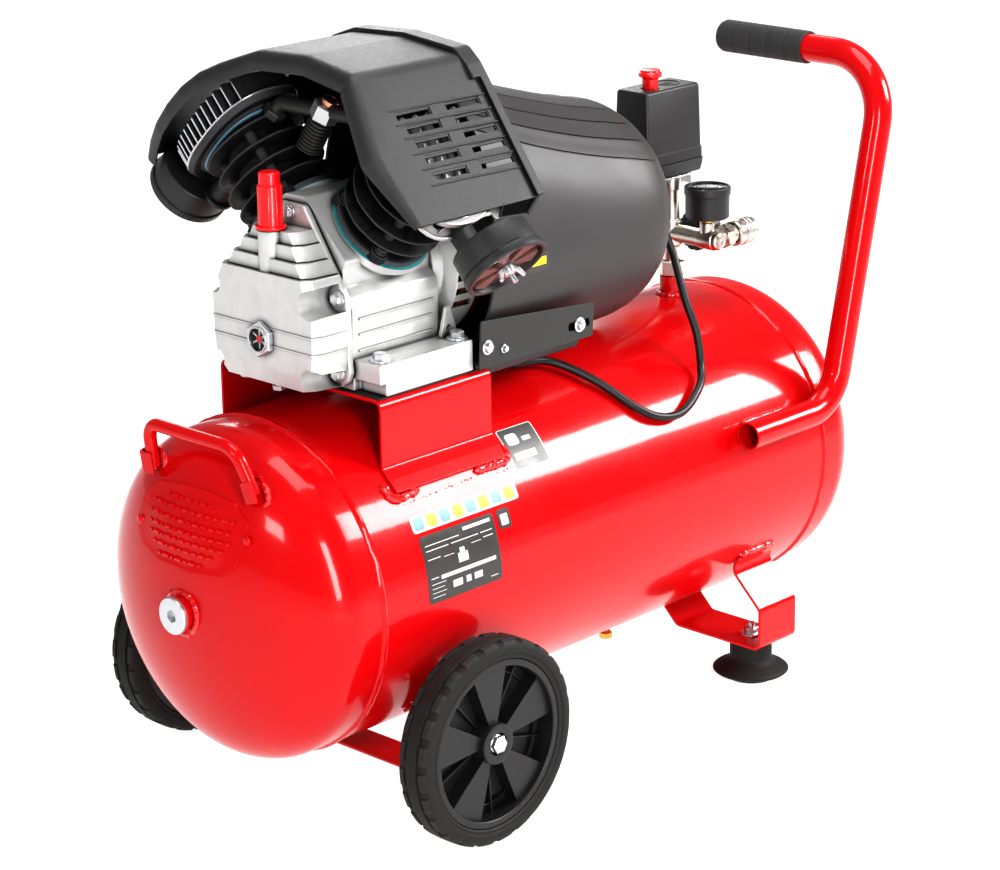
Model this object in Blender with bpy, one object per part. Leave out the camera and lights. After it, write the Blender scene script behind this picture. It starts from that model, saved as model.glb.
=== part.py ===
"""A wheeled V-twin air compressor: a 50 litre tank on two wheels and two rubber feet, with an oiled
two-cylinder pump, its electric motor, a pressure switch and an outlet manifold on top.

Frame: X runs along the tank, from the wheel end (-X) to the handle end (+X); -Y is the side with the
main handle; Z is up, and z = 0 is the floor. Lengths are in metres.
"""

import math

import bmesh
import bpy
from mathutils import Matrix, Vector

# ---------------------------------------------------------------- driving dimensions
FIT = 0.0003  # gap left between pieces that touch

TANK_X = 0.006  # middle of the tank along X
TANK_Z = 0.210  # height of the tank's axis
TANK_R = 0.150
TANK_WALL = 0.003
TANK_SEAM = 0.297  # from the middle to each head's weld seam
HEAD_SKIRT = 0.022  # straight part of a head
HEAD_DEPTH = 0.072  # domed part of a head
PORT_R = 0.0105

WHEEL_R = 0.092
WHEEL_X = -0.212
WHEEL_FACE_Y = 0.2043  # outer face of a tyre
WHEEL_WIDTH = 0.0336
RIM_R = 0.0755
SPOKES = 5
FOOT_X = 0.2272
FOOT_Y = 0.1235
STRIP = 0.003  # thickness of the bent steel strips

SADDLE_X0 = -0.2439
SADDLE_X1 = -0.1098
SADDLE_Y = 0.1014
SADDLE_Z = 0.384

CRANK_Z = 0.471  # height of the crankshaft's axis, which lies above the tank's axis
CASE_X0 = -0.2400
CASE_X1 = -0.1380
CASE_Y = 0.0665
BASE_TOP = 0.413
DECK = 0.0641  # from the crankshaft's axis to each cylinder's deck
NEAR_CYL_X = -0.1830
FAR_CYL_X = -0.1950
CYL_TOP = 0.1215
HEAD_TOP = 0.1520
HEAD_HALF = 0.0440
HEAD_DISC_R = 0.0520  # the far head's round flange
HEAD_FIN_PITCH = 0.0084
FAR_HEAD_TOP = 0.1840
BORE_R = 0.0215
FILTER_R = 0.0375
FILTER_PORT = 0.1365  # from the crankshaft's axis to each head's intake port
THROW = 0.0130  # half of the pistons' stroke
ROD_LENGTH = 0.0835

COVER_FACE_X = -0.2830
COWL_R = 0.1059
COWL_X0 = -0.1080
COWL_SHOULDER = 0.0877
COWL_END = 0.1715

PORT_X = 0.2498  # the outlet fitting on the tank's top
BAR_Z = 0.4215
SWITCH_X = 0.2412
SWITCH_Y = 0.0100
GAUGE_Y = -0.0450
COUPLER_Y = -0.0500

HANDLE_R = 0.0135
HANDLE_Y = -0.1560
HANDLE_Z = 0.2635
GRIP_X = 0.3810
GRIP_Z = 0.5900

X_AXIS = Vector((1.0, 0.0, 0.0))
Y_AXIS = Vector((0.0, 1.0, 0.0))
Z_AXIS = Vector((0.0, 0.0, 1.0))
NEAR_UP = Vector((0.0, -1.0, 1.0)).normalized()  # near cylinder's axis
FAR_UP = Vector((0.0, 1.0, 1.0)).normalized()  # far cylinder's axis
NEAR_DOWN = Vector((0.0, -1.0, -1.0)).normalized()  # near air filter's axis
FAR_DOWN = Vector((0.0, 1.0, -1.0)).normalized()  # far air filter's axis
CRANK = Vector((0.0, 0.0, CRANK_Z))


# ---------------------------------------------------------------- materials
def material(name, colour, roughness, metallic):
    """A Principled material of one colour."""
    made = bpy.data.materials.new(name)
    made.use_nodes = True
    shader = made.node_tree.nodes["Principled BSDF"]
    shader.inputs["Base Color"].default_value = (*colour, 1.0)
    shader.inputs["Roughness"].default_value = roughness
    shader.inputs["Metallic"].default_value = metallic
    return made


def make_materials():
    """Every finish that the compressor has, by name."""
    finishes = {
        "red_paint": ((0.62, 0.010, 0.014), 0.22, 0.0),
        "cast_aluminium": ((0.72, 0.73, 0.74), 0.42, 0.9),
        "machined_steel": ((0.55, 0.55, 0.56), 0.28, 1.0),
        "zinc": ((0.66, 0.67, 0.70), 0.30, 1.0),
        "nickel": ((0.74, 0.70, 0.62), 0.20, 1.0),
        "brass": ((0.72, 0.46, 0.13), 0.28, 1.0),
        "copper": ((0.72, 0.36, 0.22), 0.32, 1.0),
        "black_paint": ((0.018, 0.018, 0.020), 0.45, 0.0),
        "black_plastic": ((0.035, 0.035, 0.037), 0.52, 0.0),
        "rubber": ((0.022, 0.022, 0.023), 0.78, 0.0),
        "red_plastic": ((0.75, 0.015, 0.020), 0.30, 0.0),
        "clear": ((0.85, 0.88, 0.88), 0.05, 0.0),
        "winding": ((0.30, 0.10, 0.04), 0.40, 0.6),
    }
    return {name: material(name, *values) for name, values in finishes.items()}


# ---------------------------------------------------------------- shaping tools
def clear_scene():
    for item in list(bpy.data.objects):
        bpy.data.objects.remove(item, do_unlink=True)


def add(name, shape, finish=None, place=Matrix.Identity(4)):
    """Turns a bmesh into a named object, its faces pointing out and its round parts smooth."""
    bmesh.ops.recalc_face_normals(shape, faces=shape.faces)
    if shape.calc_volume(signed=True) < 0:
        bmesh.ops.reverse_faces(shape, faces=shape.faces)
    mesh = bpy.data.meshes.new(name)
    shape.to_mesh(mesh)
    shape.free()
    mesh.shade_smooth()
    mesh.set_sharp_from_angle(angle=math.radians(35))
    if finish:
        mesh.materials.append(finish)
    made = bpy.data.objects.new(name, mesh)
    made.matrix_world = place
    bpy.context.collection.objects.link(made)
    return made


def along(point, direction):
    """A placement whose local Z runs along direction from point; its local X is world X, or Z when Z is along X."""
    z = Vector(direction).normalized()
    across = Z_AXIS if abs(z.x) > 0.9 else X_AXIS
    x = (across - z * z.dot(across)).normalized()
    y = z.cross(x)
    turn = Matrix((x, y, z)).transposed().to_4x4()
    return Matrix.Translation(Vector(point)) @ turn


def turned(profile, segments, closed=False):
    """A solid of revolution about local Z from (z, radius) points; a closed profile makes a ring."""
    shape = bmesh.new()
    rings = []
    for z, radius in profile:
        if radius < 1e-6:
            rings.append([shape.verts.new((0.0, 0.0, z))])
            continue
        angles = (2 * math.pi * i / segments for i in range(segments))
        rings.append([shape.verts.new((radius * math.cos(a), radius * math.sin(a), z)) for a in angles])
    pairs = list(zip(rings, rings[1:]))
    if closed:
        pairs.append((rings[-1], rings[0]))
    for low, high in pairs:
        if len(low) + len(high) == 2:
            continue
        for i in range(segments):
            j = (i + 1) % segments
            corners = [low[i % len(low)], low[j % len(low)], high[j % len(high)], high[i % len(high)]]
            shape.faces.new(list(dict.fromkeys(corners)))
    if not closed:
        for ring in (rings[0], rings[-1]):
            if len(ring) > 1:
                shape.faces.new(ring)
    return shape


def rod(radius, z0, z1, segments=16):
    """A plain round bar on local Z."""
    return turned([(z0, radius), (z1, radius)], segments)


def pipe(outer, inner, z0, z1, segments=16):
    """A round tube on local Z."""
    return turned([(z0, inner), (z0, outer), (z1, outer), (z1, inner)], segments, closed=True)


def prism(outline, low, high, axis="x"):
    """An outline extruded from low to high. Its points are (y, z) for axis x, (x, z) for y, (x, y) for z."""
    shape = bmesh.new()
    order = {"x": (2, 0, 1), "y": (0, 2, 1), "z": (0, 1, 2)}[axis]
    ends = []
    for level in (low, high):
        ring = []
        for first, second in outline:
            values = (first, second, level)
            ring.append(shape.verts.new([values[i] for i in order]))
        ends.append(ring)
    count = len(outline)
    for i in range(count):
        j = (i + 1) % count
        shape.faces.new((ends[0][i], ends[0][j], ends[1][j], ends[1][i]))
    shape.faces.new(ends[0])
    shape.faces.new(ends[1])
    return shape


def box(x0, x1, y0, y1, z0, z1):
    return prism([(y0, z0), (y1, z0), (y1, z1), (y0, z1)], x0, x1)


def polygon(sides, radius, start=0.0):
    """A regular outline of so many sides, its corners at radius."""
    angles = (start + 2 * math.pi * i / sides for i in range(sides))
    return [(radius * math.cos(a), radius * math.sin(a)) for a in angles]


def mirrored(points):
    """An outline's left half, from bottom to top, completed with its mirror image in the first value."""
    return points + [(-y, z) for y, z in reversed(points)]


def thick_line(points, thickness):
    """A polyline's outline: a strip of this thickness, centred on the points, with mitred corners."""
    path = [Vector(p) for p in points]
    left, right = [], []
    for i, point in enumerate(path):
        before = (point - path[i - 1]).normalized() if i else (path[1] - point).normalized()
        after = (path[i + 1] - point).normalized() if i + 1 < len(path) else before
        middle = (before + after).normalized()
        normal = Vector((-middle.y, middle.x))
        reach = thickness / 2 / max(normal.dot(Vector((-after.y, after.x))), 0.3)
        left.append(tuple(point + normal * reach))
        right.append(tuple(point - normal * reach))
    return left + right[::-1]


def filleted(corners, radii, steps=5):
    """A path through the corners, each inner corner rounded to its radius with an arc of so many steps."""
    path = [Vector(corners[0])]
    for before, corner, after, radius in zip(corners, corners[1:], corners[2:], radii):
        corner = Vector(corner)
        inward = (Vector(before) - corner).normalized()
        outward = (Vector(after) - corner).normalized()
        half = inward.angle(outward) / 2
        reach = radius / math.tan(half)
        centre = corner + (inward + outward).normalized() * (radius / math.sin(half))
        start = corner + inward * reach - centre
        end = corner + outward * reach - centre
        sweep = start.angle(end)
        for i in range(steps + 1):
            t = i / steps
            blend = (start * math.sin((1 - t) * sweep) + end * math.sin(t * sweep)) / math.sin(sweep)
            path.append(centre + blend)
    path.append(Vector(corners[-1]))
    return path


def smooth_route(points, spacing):
    """Points at an even spacing along a Catmull-Rom curve through the route's own points."""
    knots = [Vector(p) for p in points]
    knots = [knots[0] * 2 - knots[1]] + knots + [knots[-1] * 2 - knots[-2]]
    fine = []
    for a, b, c, d in zip(knots, knots[1:], knots[2:], knots[3:]):
        for i in range(20):
            t = i / 20
            fine.append(
                0.5 * (2 * b + (c - a) * t + (2 * a - 5 * b + 4 * c - d) * t**2 + (3 * b - a - 3 * c + d) * t**3)
            )
    fine.append(knots[-2])
    lengths = [0.0]
    for a, b in zip(fine, fine[1:]):
        lengths.append(lengths[-1] + (b - a).length)
    count = max(2, round(lengths[-1] / spacing))
    route, k = [], 0
    for i in range(count + 1):
        wanted = lengths[-1] * i / count
        while k + 2 < len(lengths) and lengths[k + 1] < wanted:
            k += 1
        t = (wanted - lengths[k]) / (lengths[k + 1] - lengths[k])
        route.append(fine[k].lerp(fine[k + 1], t))
    return route


def swept(path, radius, sides=12, inner=None):
    """A round bar along a path, or with an inner radius a tube that is open at both ends."""
    shape = bmesh.new()
    path = [Vector(p) for p in path]
    tangent = (path[1] - path[0]).normalized()
    side = tangent.orthogonal().normalized()
    loops = []
    for i, point in enumerate(path):
        before = (point - path[i - 1]).normalized() if i else tangent
        after = (path[i + 1] - point).normalized() if i + 1 < len(path) else before
        tangent = (before + after).normalized()
        side = (side - tangent * side.dot(tangent)).normalized()
        up = tangent.cross(side)
        rings = []
        for r in (radius, inner):
            if r is None:
                continue
            angles = (2 * math.pi * k / sides for k in range(sides))
            rings.append([shape.verts.new(point + (side * math.cos(a) + up * math.sin(a)) * r) for a in angles])
        loops.append(rings)
    for low, high in zip(loops, loops[1:]):
        for a, b in zip(low, high):
            for i in range(sides):
                j = (i + 1) % sides
                shape.faces.new((a[i], a[j], b[j], b[i]))
    for rings in (loops[0], loops[-1]):
        if inner is None:
            shape.faces.new(rings[0])
            continue
        for i in range(sides):
            j = (i + 1) % sides
            shape.faces.new((rings[0][i], rings[0][j], rings[1][j], rings[1][i]))
    return shape


def cut_with(target, name, shape, operation="DIFFERENCE", place=Matrix.Identity(4)):
    """Cuts a shape out of the target, or joins it on, and leaves the shape in the file as a guide."""
    tool = add(name, shape, None, place)
    tool.hide_render = True
    tool.display_type = "WIRE"
    change = target.modifiers.new(name, "BOOLEAN")
    change.operation = operation
    change.solver = "EXACT"
    change.object = tool


# ---------------------------------------------------------------- tank and frame
def tank_profile(inset):
    """Half of the tank's long section, from the -X port to the +X apex, inset by so much."""
    radius = TANK_R - inset
    depth = HEAD_DEPTH - inset
    shoulder = TANK_SEAM + HEAD_SKIRT
    steps = 5
    front = []
    for i in range(1, steps + 1):
        angle = math.radians(9) + (math.pi / 2 - math.radians(9)) * i / steps
        front.append((-shoulder - depth * math.cos(angle), radius * math.sin(angle)))
    back = [(-z, r) for z, r in reversed(front)]
    return front + back + [(shoulder + depth, 0.0)]


def build_tank(mats):
    boss_face = -(TANK_SEAM + HEAD_SKIRT + HEAD_DEPTH) - 0.0015
    boss_back = boss_face + 0.0055
    outer = [(boss_face, PORT_R), (boss_face, 0.021), (boss_back, 0.021)] + tank_profile(0.0)
    inner = tank_profile(TANK_WALL)[::-1] + [(boss_face + 0.009, PORT_R)]
    # Both skins end in a point at the +X apex, so the section's loop touches the axis twice there.
    shape = turned(outer + inner, 28, closed=True)
    tank = add("tank", shape, mats["red_paint"], along((TANK_X, 0.0, TANK_Z), X_AXIS))
    for name, x, z0, z1, radius in (
        ("cut_outlet_port", PORT_X, 0.30, 0.40, 0.0075),
        ("cut_drain_port", 0.153, 0.03, 0.10, 0.0050),
    ):
        cut_with(tank, name, rod(radius, z0, z1, 12), place=Matrix.Translation((x, 0.0, 0.0)))


def build_front_plug(mats):
    face = -0.397
    profile = [
        (0.0, 0.0),
        (0.0, 0.0085),
        (0.0, 0.0145),
        (0.0015, 0.0165),
        (0.0090, 0.0165),
        (0.0102, 0.0165),
        (0.0102, PORT_R - FIT),
        (0.0240, PORT_R - FIT),
        (0.0240, 0.0),
    ]
    plug = add("front_plug", turned(profile, 20), mats["zinc"], along((face, 0.0, TANK_Z), X_AXIS))
    socket = prism(polygon(6, 0.0058), -0.001, 0.007, "z")
    cut_with(plug, "cut_plug_socket", socket, place=plug.matrix_world)


def build_saddle(mats):
    """The folded steel seat under the pump: a flat top, two sides and two welded edges on the tank."""
    reach = TANK_R + STRIP / 2 + FIT
    edge = math.asin((SADDLE_Y + 0.016) / reach)
    foot = math.asin((SADDLE_Y - STRIP / 2) / reach)
    half = [(-reach * math.sin(a), TANK_Z + reach * math.cos(a)) for a in (edge, (edge + foot) / 2, foot)]
    half += [(-SADDLE_Y + STRIP / 2, SADDLE_Z - 0.005), (-SADDLE_Y + 0.005, SADDLE_Z - STRIP / 2)]
    outline = thick_line(mirrored(half), STRIP)
    add("saddle_bracket", prism(outline, SADDLE_X0, SADDLE_X1), mats["red_paint"])


def on_tank(angle, reach=TANK_R + STRIP / 2 + FIT):
    """A point (y, z) beside the tank's underside, at an angle from straight down towards -Y."""
    a = math.radians(angle)
    return (-reach * math.sin(a), TANK_Z - reach * math.cos(a))


def build_brackets(mats):
    half = [on_tank(44), (-0.146, 0.126), (-0.160, 0.116), (-0.160, 0.047)]
    bracket = add(
        "axle_bracket",
        prism(thick_line(mirrored(half), STRIP), WHEEL_X - 0.018, WHEEL_X + 0.018),
        mats["red_paint"],
    )
    hole = rod(0.0055, -0.2, 0.2, 12)
    cut_with(bracket, "cut_axle_holes", hole, place=along((WHEEL_X, 0.0, WHEEL_R), Y_AXIS))
    path = [on_tank(58), on_tank(52), (-0.155, 0.082), (-0.155, 0.0415), (-0.052, 0.0415), on_tank(12), on_tank(6)]
    for name, side in (("near_foot_bracket", 1), ("far_foot_bracket", -1)):
        outline = thick_line([(side * y, z) for y, z in path], STRIP)
        bracket = add(name, prism(outline, FOOT_X - 0.0272, FOOT_X + 0.0272), mats["red_paint"])
        hole = rod(0.0045, 0.03, 0.05, 12)
        place = Matrix.Translation((FOOT_X, -side * FOOT_Y, 0.0))
        cut_with(bracket, "cut_" + name, hole, place=place)


def build_feet(mats):
    top = 0.0415 - STRIP / 2 - FIT
    profile = [
        (0.0, 0.0),
        (0.0, 0.0235),
        (0.0060, 0.0250),
        (0.0068, 0.0355),
        (0.0090, 0.0369),
        (0.0160, 0.0250),
        (0.0195, 0.0205),
        (top, 0.0205),
        (top, 0.0),
    ]
    for name, side in (("near_foot", -1), ("far_foot", 1)):
        place = Matrix.Translation((FOOT_X, side * FOOT_Y, 0.0))
        add(name, turned(profile, 20), mats["rubber"], place)


def build_handles(mats):
    corners = [
        (0.178, HANDLE_Y, HANDLE_Z),
        (0.3050, HANDLE_Y, HANDLE_Z),
        (GRIP_X, HANDLE_Y, GRIP_Z),
        (GRIP_X, 0.0380, GRIP_Z),
    ]
    path = filleted(corners, [0.045, 0.062], 5)
    add("main_handle", swept(path, HANDLE_R, 10, HANDLE_R - 0.0018), mats["red_paint"])

    start, end = -0.0620, 0.0440
    grooves = [start + (end - start) * i / 5 for i in range(1, 5)]
    bore = HANDLE_R + 0.0008
    wall = [(start, bore), (start, 0.0160)]
    for y in grooves:
        wall += [(y - 0.001, 0.0160), (y, 0.0150), (y + 0.001, 0.0160)]
    wall += [(end - 0.005, 0.0160), (end, 0.0120), (end, 0.0), (end - 0.0035, 0.0), (end - 0.0035, bore)]
    add("handle_grip", turned(wall, 12, closed=True), mats["rubber"], along((GRIP_X, 0.0, GRIP_Z), Y_AXIS))

    carry = [
        (-0.3599, 0.0600, 0.3215),
        (-0.3625, 0.0600, 0.3610),
        (-0.3625, -0.0500, 0.3610),
        (-0.3567, -0.0660, 0.3228),
    ]
    add("carry_handle", swept(filleted(carry, [0.014, 0.022], 4), 0.0058, 8), mats["red_paint"])


def build_wheels(mats):
    rim_half = 0.0150
    rim_profile = [
        (-rim_half, 0.0062),
        (-rim_half, 0.0185),
        (0.004, 0.0185),
        (0.004, 0.0690),
        (-rim_half, 0.0690),
        (-rim_half, RIM_R),
        (rim_half, RIM_R),
        (rim_half, 0.0690),
        (0.007, 0.0690),
        (0.007, 0.0185),
        (rim_half, 0.0185),
        (rim_half, 0.0062),
    ]
    half = WHEEL_WIDTH / 2
    inside = RIM_R + FIT
    tyre_profile = [
        (-rim_half, inside),
        (-half, 0.0785),
        (-half, 0.0870),
        (-half + 0.005, WHEEL_R),
        (half - 0.005, WHEEL_R),
        (half, 0.0870),
        (half, 0.0785),
        (rim_half, inside),
    ]
    for name, side in (("near", -1), ("far", 1)):
        centre = (WHEEL_X, side * (WHEEL_FACE_Y - half), WHEEL_R)
        place = along(centre, (0.0, -side, 0.0))
        rim = add(name + "_wheel_rim", turned(rim_profile, 28, closed=True), mats["black_plastic"], place)
        for i in range(SPOKES):
            angle = side * math.radians(94 + 360 / SPOKES * i)
            wedge = [(0.0175, -0.0053), (0.0700, -0.0212), (0.0700, 0.0212), (0.0175, 0.0053)]
            spoke = prism(wedge, -0.010, 0.005, "z")
            turn = Matrix.Rotation(angle, 4, "Z")
            cut_with(rim, f"join_{name}_spoke_{i}", spoke, "UNION", place @ turn)
        add(name + "_tyre", turned(tyre_profile, 28, closed=True), mats["rubber"], place)
        bolt_profile = [
            (-0.0055, 0.0),
            (-0.0055, 0.0085),
            (0.0, 0.0085),
            (0.0, 0.0058),
            (0.0330, 0.0058),
            (0.0330, 0.0050),
            (0.0555, 0.0050),
            (0.0555, 0.0),
        ]
        head_y = side * (WHEEL_FACE_Y - half + rim_half + 0.0008)
        bolt_place = along((WHEEL_X, head_y, WHEEL_R), (0.0, -side, 0.0))
        add(name + "_axle_bolt", turned(bolt_profile, 12), mats["zinc"], bolt_place)


def build_drain(mats):
    place = Matrix.Translation((0.153, 0.0, 0.0))
    body = [
        (0.0390, 0.0024),
        (0.0390, 0.0070),
        (0.0595, 0.0070),
        (0.0595, 0.0047),
        (0.0680, 0.0047),
        (0.0680, 0.0024),
    ]
    add("drain_valve", turned(body, 12, closed=True), mats["brass"], place)
    screw = [
        (0.0290, 0.0),
        (0.0290, 0.0060),
        (0.0340, 0.0060),
        (0.0380, 0.0021),
        (0.0600, 0.0021),
        (0.0600, 0.0),
    ]
    add("drain_screw", turned(screw, 12), mats["brass"], place)


# ---------------------------------------------------------------- pump
def case_outline(inset):
    """The crankcase's cross section: upright sides, then two decks at right angles to the cylinders."""
    deck_sum = (DECK - inset) * math.sqrt(2) + CRANK_Z
    low = deck_sum - 0.078 + inset
    half = [
        (-CASE_Y + inset, BASE_TOP - 0.005 + inset),
        (-CASE_Y + inset, 0.465),
        (-0.078 + inset, low),
        (-0.010, deck_sum - 0.010),
    ]
    return mirrored(half)


def build_crankcase(mats):
    case = add("crankcase", prism(case_outline(0.0), CASE_X0, CASE_X1), mats["cast_aluminium"])
    base = box(-0.2400, -0.1280, -0.0980, 0.0980, SADDLE_Z + FIT, BASE_TOP)
    cut_with(case, "join_pump_base", base, "UNION")
    cut_with(case, "cut_crank_chamber", prism(case_outline(0.007), CASE_X0 - 0.01, CASE_X1 - 0.008))
    for name, x, up in (("cut_near_deck", NEAR_CYL_X, NEAR_UP), ("cut_far_deck", FAR_CYL_X, FAR_UP)):
        hole = rod(BORE_R + 0.004, 0.045, 0.080, 20)
        cut_with(case, name, hole, place=along(CRANK + X_AXIS * x, up))
    cut_with(case, "cut_shaft_hole", rod(0.0135, -0.16, -0.10, 16), place=along(CRANK, X_AXIS))


def cover_outline(scale_y, top):
    half = [
        (-CASE_Y * 0.72 * scale_y, 0.388),
        (-CASE_Y * scale_y, 0.402),
        (-CASE_Y * scale_y, 0.461 + (top - 0.544) * 0.3),
        (-0.012, top),
    ]
    return mirrored(half)


def build_crankcase_cover(mats):
    back = CASE_X0 - FIT
    flange_front = back - 0.0065
    cover = add("crankcase_cover", prism(cover_outline(1.0, 0.544), flange_front, back), mats["cast_aluminium"])
    body = prism(cover_outline(0.95, 0.5215), COVER_FACE_X, flange_front + 0.003)
    cut_with(cover, "join_cover_body", body, "UNION")
    cut_with(cover, "cut_cover_inside", prism(cover_outline(0.85, 0.505), COVER_FACE_X + 0.005, back + 0.01))
    cut_with(cover, "cut_filler_hole", rod(0.0065, 0.49, 0.55, 12), place=Matrix.Translation((-0.2687, 0, 0)))
    hole = rod(0.0085, -0.30, -0.275, 12)
    cut_with(cover, "cut_sight_hole", hole, place=along((0.0, 0.0, 0.429), X_AXIS))


def build_breather_plug(mats):
    top = 0.5215 + FIT
    profile = [
        (top - 0.016, 0.0),
        (top - 0.016, 0.0058),
        (top, 0.0058),
        (top, 0.0132),
        (top + 0.004, 0.0132),
        (top + 0.0045, 0.0108),
        (top + 0.040, 0.0108),
        (top + 0.0415, 0.0092),
        (top + 0.0490, 0.0092),
        (top + 0.0490, 0.0),
    ]
    add("breather_plug", turned(profile, 16), mats["red_plastic"], Matrix.Translation((-0.2687, 0, 0)))


def build_sight_glass(mats):
    profile = [
        (0.0, 0.0),
        (0.0, 0.0100),
        (0.0, 0.0140),
        (0.0062, 0.0140),
        (0.0062, 0.0080),
        (0.0125, 0.0080),
        (0.0125, 0.0),
    ]
    add("sight_glass", turned(profile, 12), mats["nickel"], along((COVER_FACE_X - 0.0065, 0, 0.429), X_AXIS))


def build_cylinder(name, x, up, mats):
    """A finned barrel with its base flange, on local Z, which is its distance from the crankshaft."""
    start = DECK + FIT
    fins = [0.0800, 0.0920, 0.1040, 0.1160]
    profile = [
        (start - 0.010, BORE_R),
        (start - 0.010, BORE_R + 0.0035),
        (start, BORE_R + 0.0035),
        (start, 0.0440),
        (start + 0.006, 0.0440),
        (start + 0.006, 0.0290),
    ]
    for z in fins:
        profile += [(z - 0.0012, 0.0290), (z - 0.0009, 0.0490), (z + 0.0009, 0.0490), (z + 0.0012, 0.0290)]
    profile += [(CYL_TOP, 0.0290), (CYL_TOP, BORE_R)]
    shape = turned(profile, 18, closed=True)
    add(name + "_cylinder", shape, mats["black_paint"], along(CRANK + X_AXIS * x, up))


def square(half_x, half_y):
    return [(-half_x, -half_y), (half_x, -half_y), (half_x, half_y), (-half_x, half_y)]


def build_near_head(mats):
    """A square finned head with a valve chamber that opens onto the near cylinder."""
    side = HEAD_HALF
    place = along(CRANK + X_AXIS * NEAR_CYL_X, NEAR_UP)
    base = prism(square(side, side), CYL_TOP + FIT, HEAD_TOP - 0.0150, "z")
    head = add("near_cylinder_head", base, mats["cast_aluminium"], place)
    pitch = 0.0180
    for i in range(5):
        fin = prism(square(0.0018, side), HEAD_TOP - 0.0160, HEAD_TOP, "z")
        cut_with(head, f"join_near_fin_{i}", fin, "UNION", place @ Matrix.Translation(((i - 2) * pitch, 0, 0)))
    cut_with(head, "cut_near_chamber", rod(BORE_R, CYL_TOP - 0.01, CYL_TOP + 0.0095, 16), place=place)


def build_far_head(mats):
    """A taller head: a block with the ports, a round flange and a round bundle of upright fins."""
    place = along(CRANK + X_AXIS * FAR_CYL_X, FAR_UP)
    flange = HEAD_TOP - 0.0020
    base = prism(square(0.0400, HEAD_HALF), CYL_TOP + FIT, flange + 0.001, "z")
    head = add("far_cylinder_head", base, mats["cast_aluminium"], place)
    cut_with(head, "join_far_flange", rod(HEAD_DISC_R, flange, flange + 0.0075, 24), "UNION", place)
    for i in range(-5, 6):
        across = i * HEAD_FIN_PITCH
        half = math.sqrt((HEAD_DISC_R - 0.002) ** 2 - across**2)
        fin = prism(square(0.0011, half), flange + 0.0070, FAR_HEAD_TOP, "z")
        cut_with(head, f"join_far_fin_{i + 5}", fin, "UNION", place @ Matrix.Translation((across, 0.0, 0.0)))
    cut_with(head, "cut_far_chamber", rod(BORE_R, CYL_TOP - 0.01, CYL_TOP + 0.0095, 16), place=place)


def build_piston(name, x, up, mats):
    """A piston and its connecting rod, placed as they are when the crank pin points straight up."""
    crank_pin = CRANK + X_AXIS * x + Z_AXIS * THROW
    sideways = THROW * math.sin(math.pi / 4)
    pin = sideways + math.sqrt(ROD_LENGTH**2 - sideways**2)
    crown = pin + 0.0240
    place = along(CRANK + X_AXIS * x, up)
    skirt = [
        (crown - 0.0300, BORE_R - 0.0035),
        (crown - 0.0300, BORE_R - 0.0006),
        (crown, BORE_R - 0.0006),
        (crown, 0.0),
        (crown - 0.0045, 0.0),
        (crown - 0.0045, BORE_R - 0.0035),
    ]
    add(name + "_piston", turned(skirt, 18, closed=True), mats["machined_steel"], place)
    # The rod's two eyes and its shank are one flat forging, and it hangs down local -Z from its small eye.
    wrist_pin = CRANK + X_AXIS * x + up * pin
    rod_place = along(wrist_pin, wrist_pin - crank_pin)
    rod_shape = prism(polygon(10, 0.0080), -0.0045, 0.0045)
    link = add(name + "_con_rod", rod_shape, mats["cast_aluminium"], rod_place)
    big = prism([(y, z - ROD_LENGTH) for y, z in polygon(14, 0.0150)], -0.0045, 0.0045)
    cut_with(link, f"join_{name}_big_end", big, "UNION", rod_place)
    shank = prism([(-0.0045, -ROD_LENGTH), (0.0045, -ROD_LENGTH), (0.0045, 0.0), (-0.0045, 0.0)], -0.0040, 0.0040)
    cut_with(link, f"join_{name}_shank", shank, "UNION", rod_place)
    bore = prism([(y, z - ROD_LENGTH) for y, z in polygon(14, 0.0100)], -0.01, 0.01)
    cut_with(link, f"cut_{name}_big_bore", bore, "DIFFERENCE", rod_place)


def filter_profile(start, face):
    """A round filter can on local Z: a closed back and a dished intake face."""
    return [
        (start, 0.0),
        (start, FILTER_R - 0.0025),
        (start + 0.0025, FILTER_R - 0.0005),
        (face - 0.0100, FILTER_R - 0.0005),
        (face - 0.0100, FILTER_R),
        (face, FILTER_R),
        (face, FILTER_R - 0.0030),
        (face - 0.0040, FILTER_R - 0.0045),
        (face - 0.0040, 0.0),
    ]


def build_air_filter(name, x, up, down, height, face, mats):
    """An air filter that hangs from the side of its cylinder head, and the wing nut that holds its lid."""
    place = along(CRANK + X_AXIS * x + up * height, down)
    port = along(CRANK + X_AXIS * x + up * FILTER_PORT, down)
    start = face - 0.0450
    can = add(name + "_air_filter", turned(filter_profile(start, face), 20), mats["black_plastic"], place)
    neck = pipe(0.0105, 0.0070, HEAD_HALF + FIT, start + 0.0010, 14)
    cut_with(can, f"join_{name}_neck", neck, "UNION", port)
    nut_start = face - 0.0036
    nut = add(name + "_wing_nut", rod(0.0062, nut_start, nut_start + 0.0090, 10), mats["zinc"], place)
    wings = [
        (-0.0060, nut_start + 0.0020),
        (-0.0130, nut_start + 0.0130),
        (-0.0105, nut_start + 0.0145),
        (0.0, nut_start + 0.0070),
        (0.0105, nut_start + 0.0145),
        (0.0130, nut_start + 0.0130),
        (0.0060, nut_start + 0.0020),
    ]
    cut_with(nut, f"join_{name}_wings", prism(wings, -0.0010, 0.0010, "y"), "UNION", place)


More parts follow.
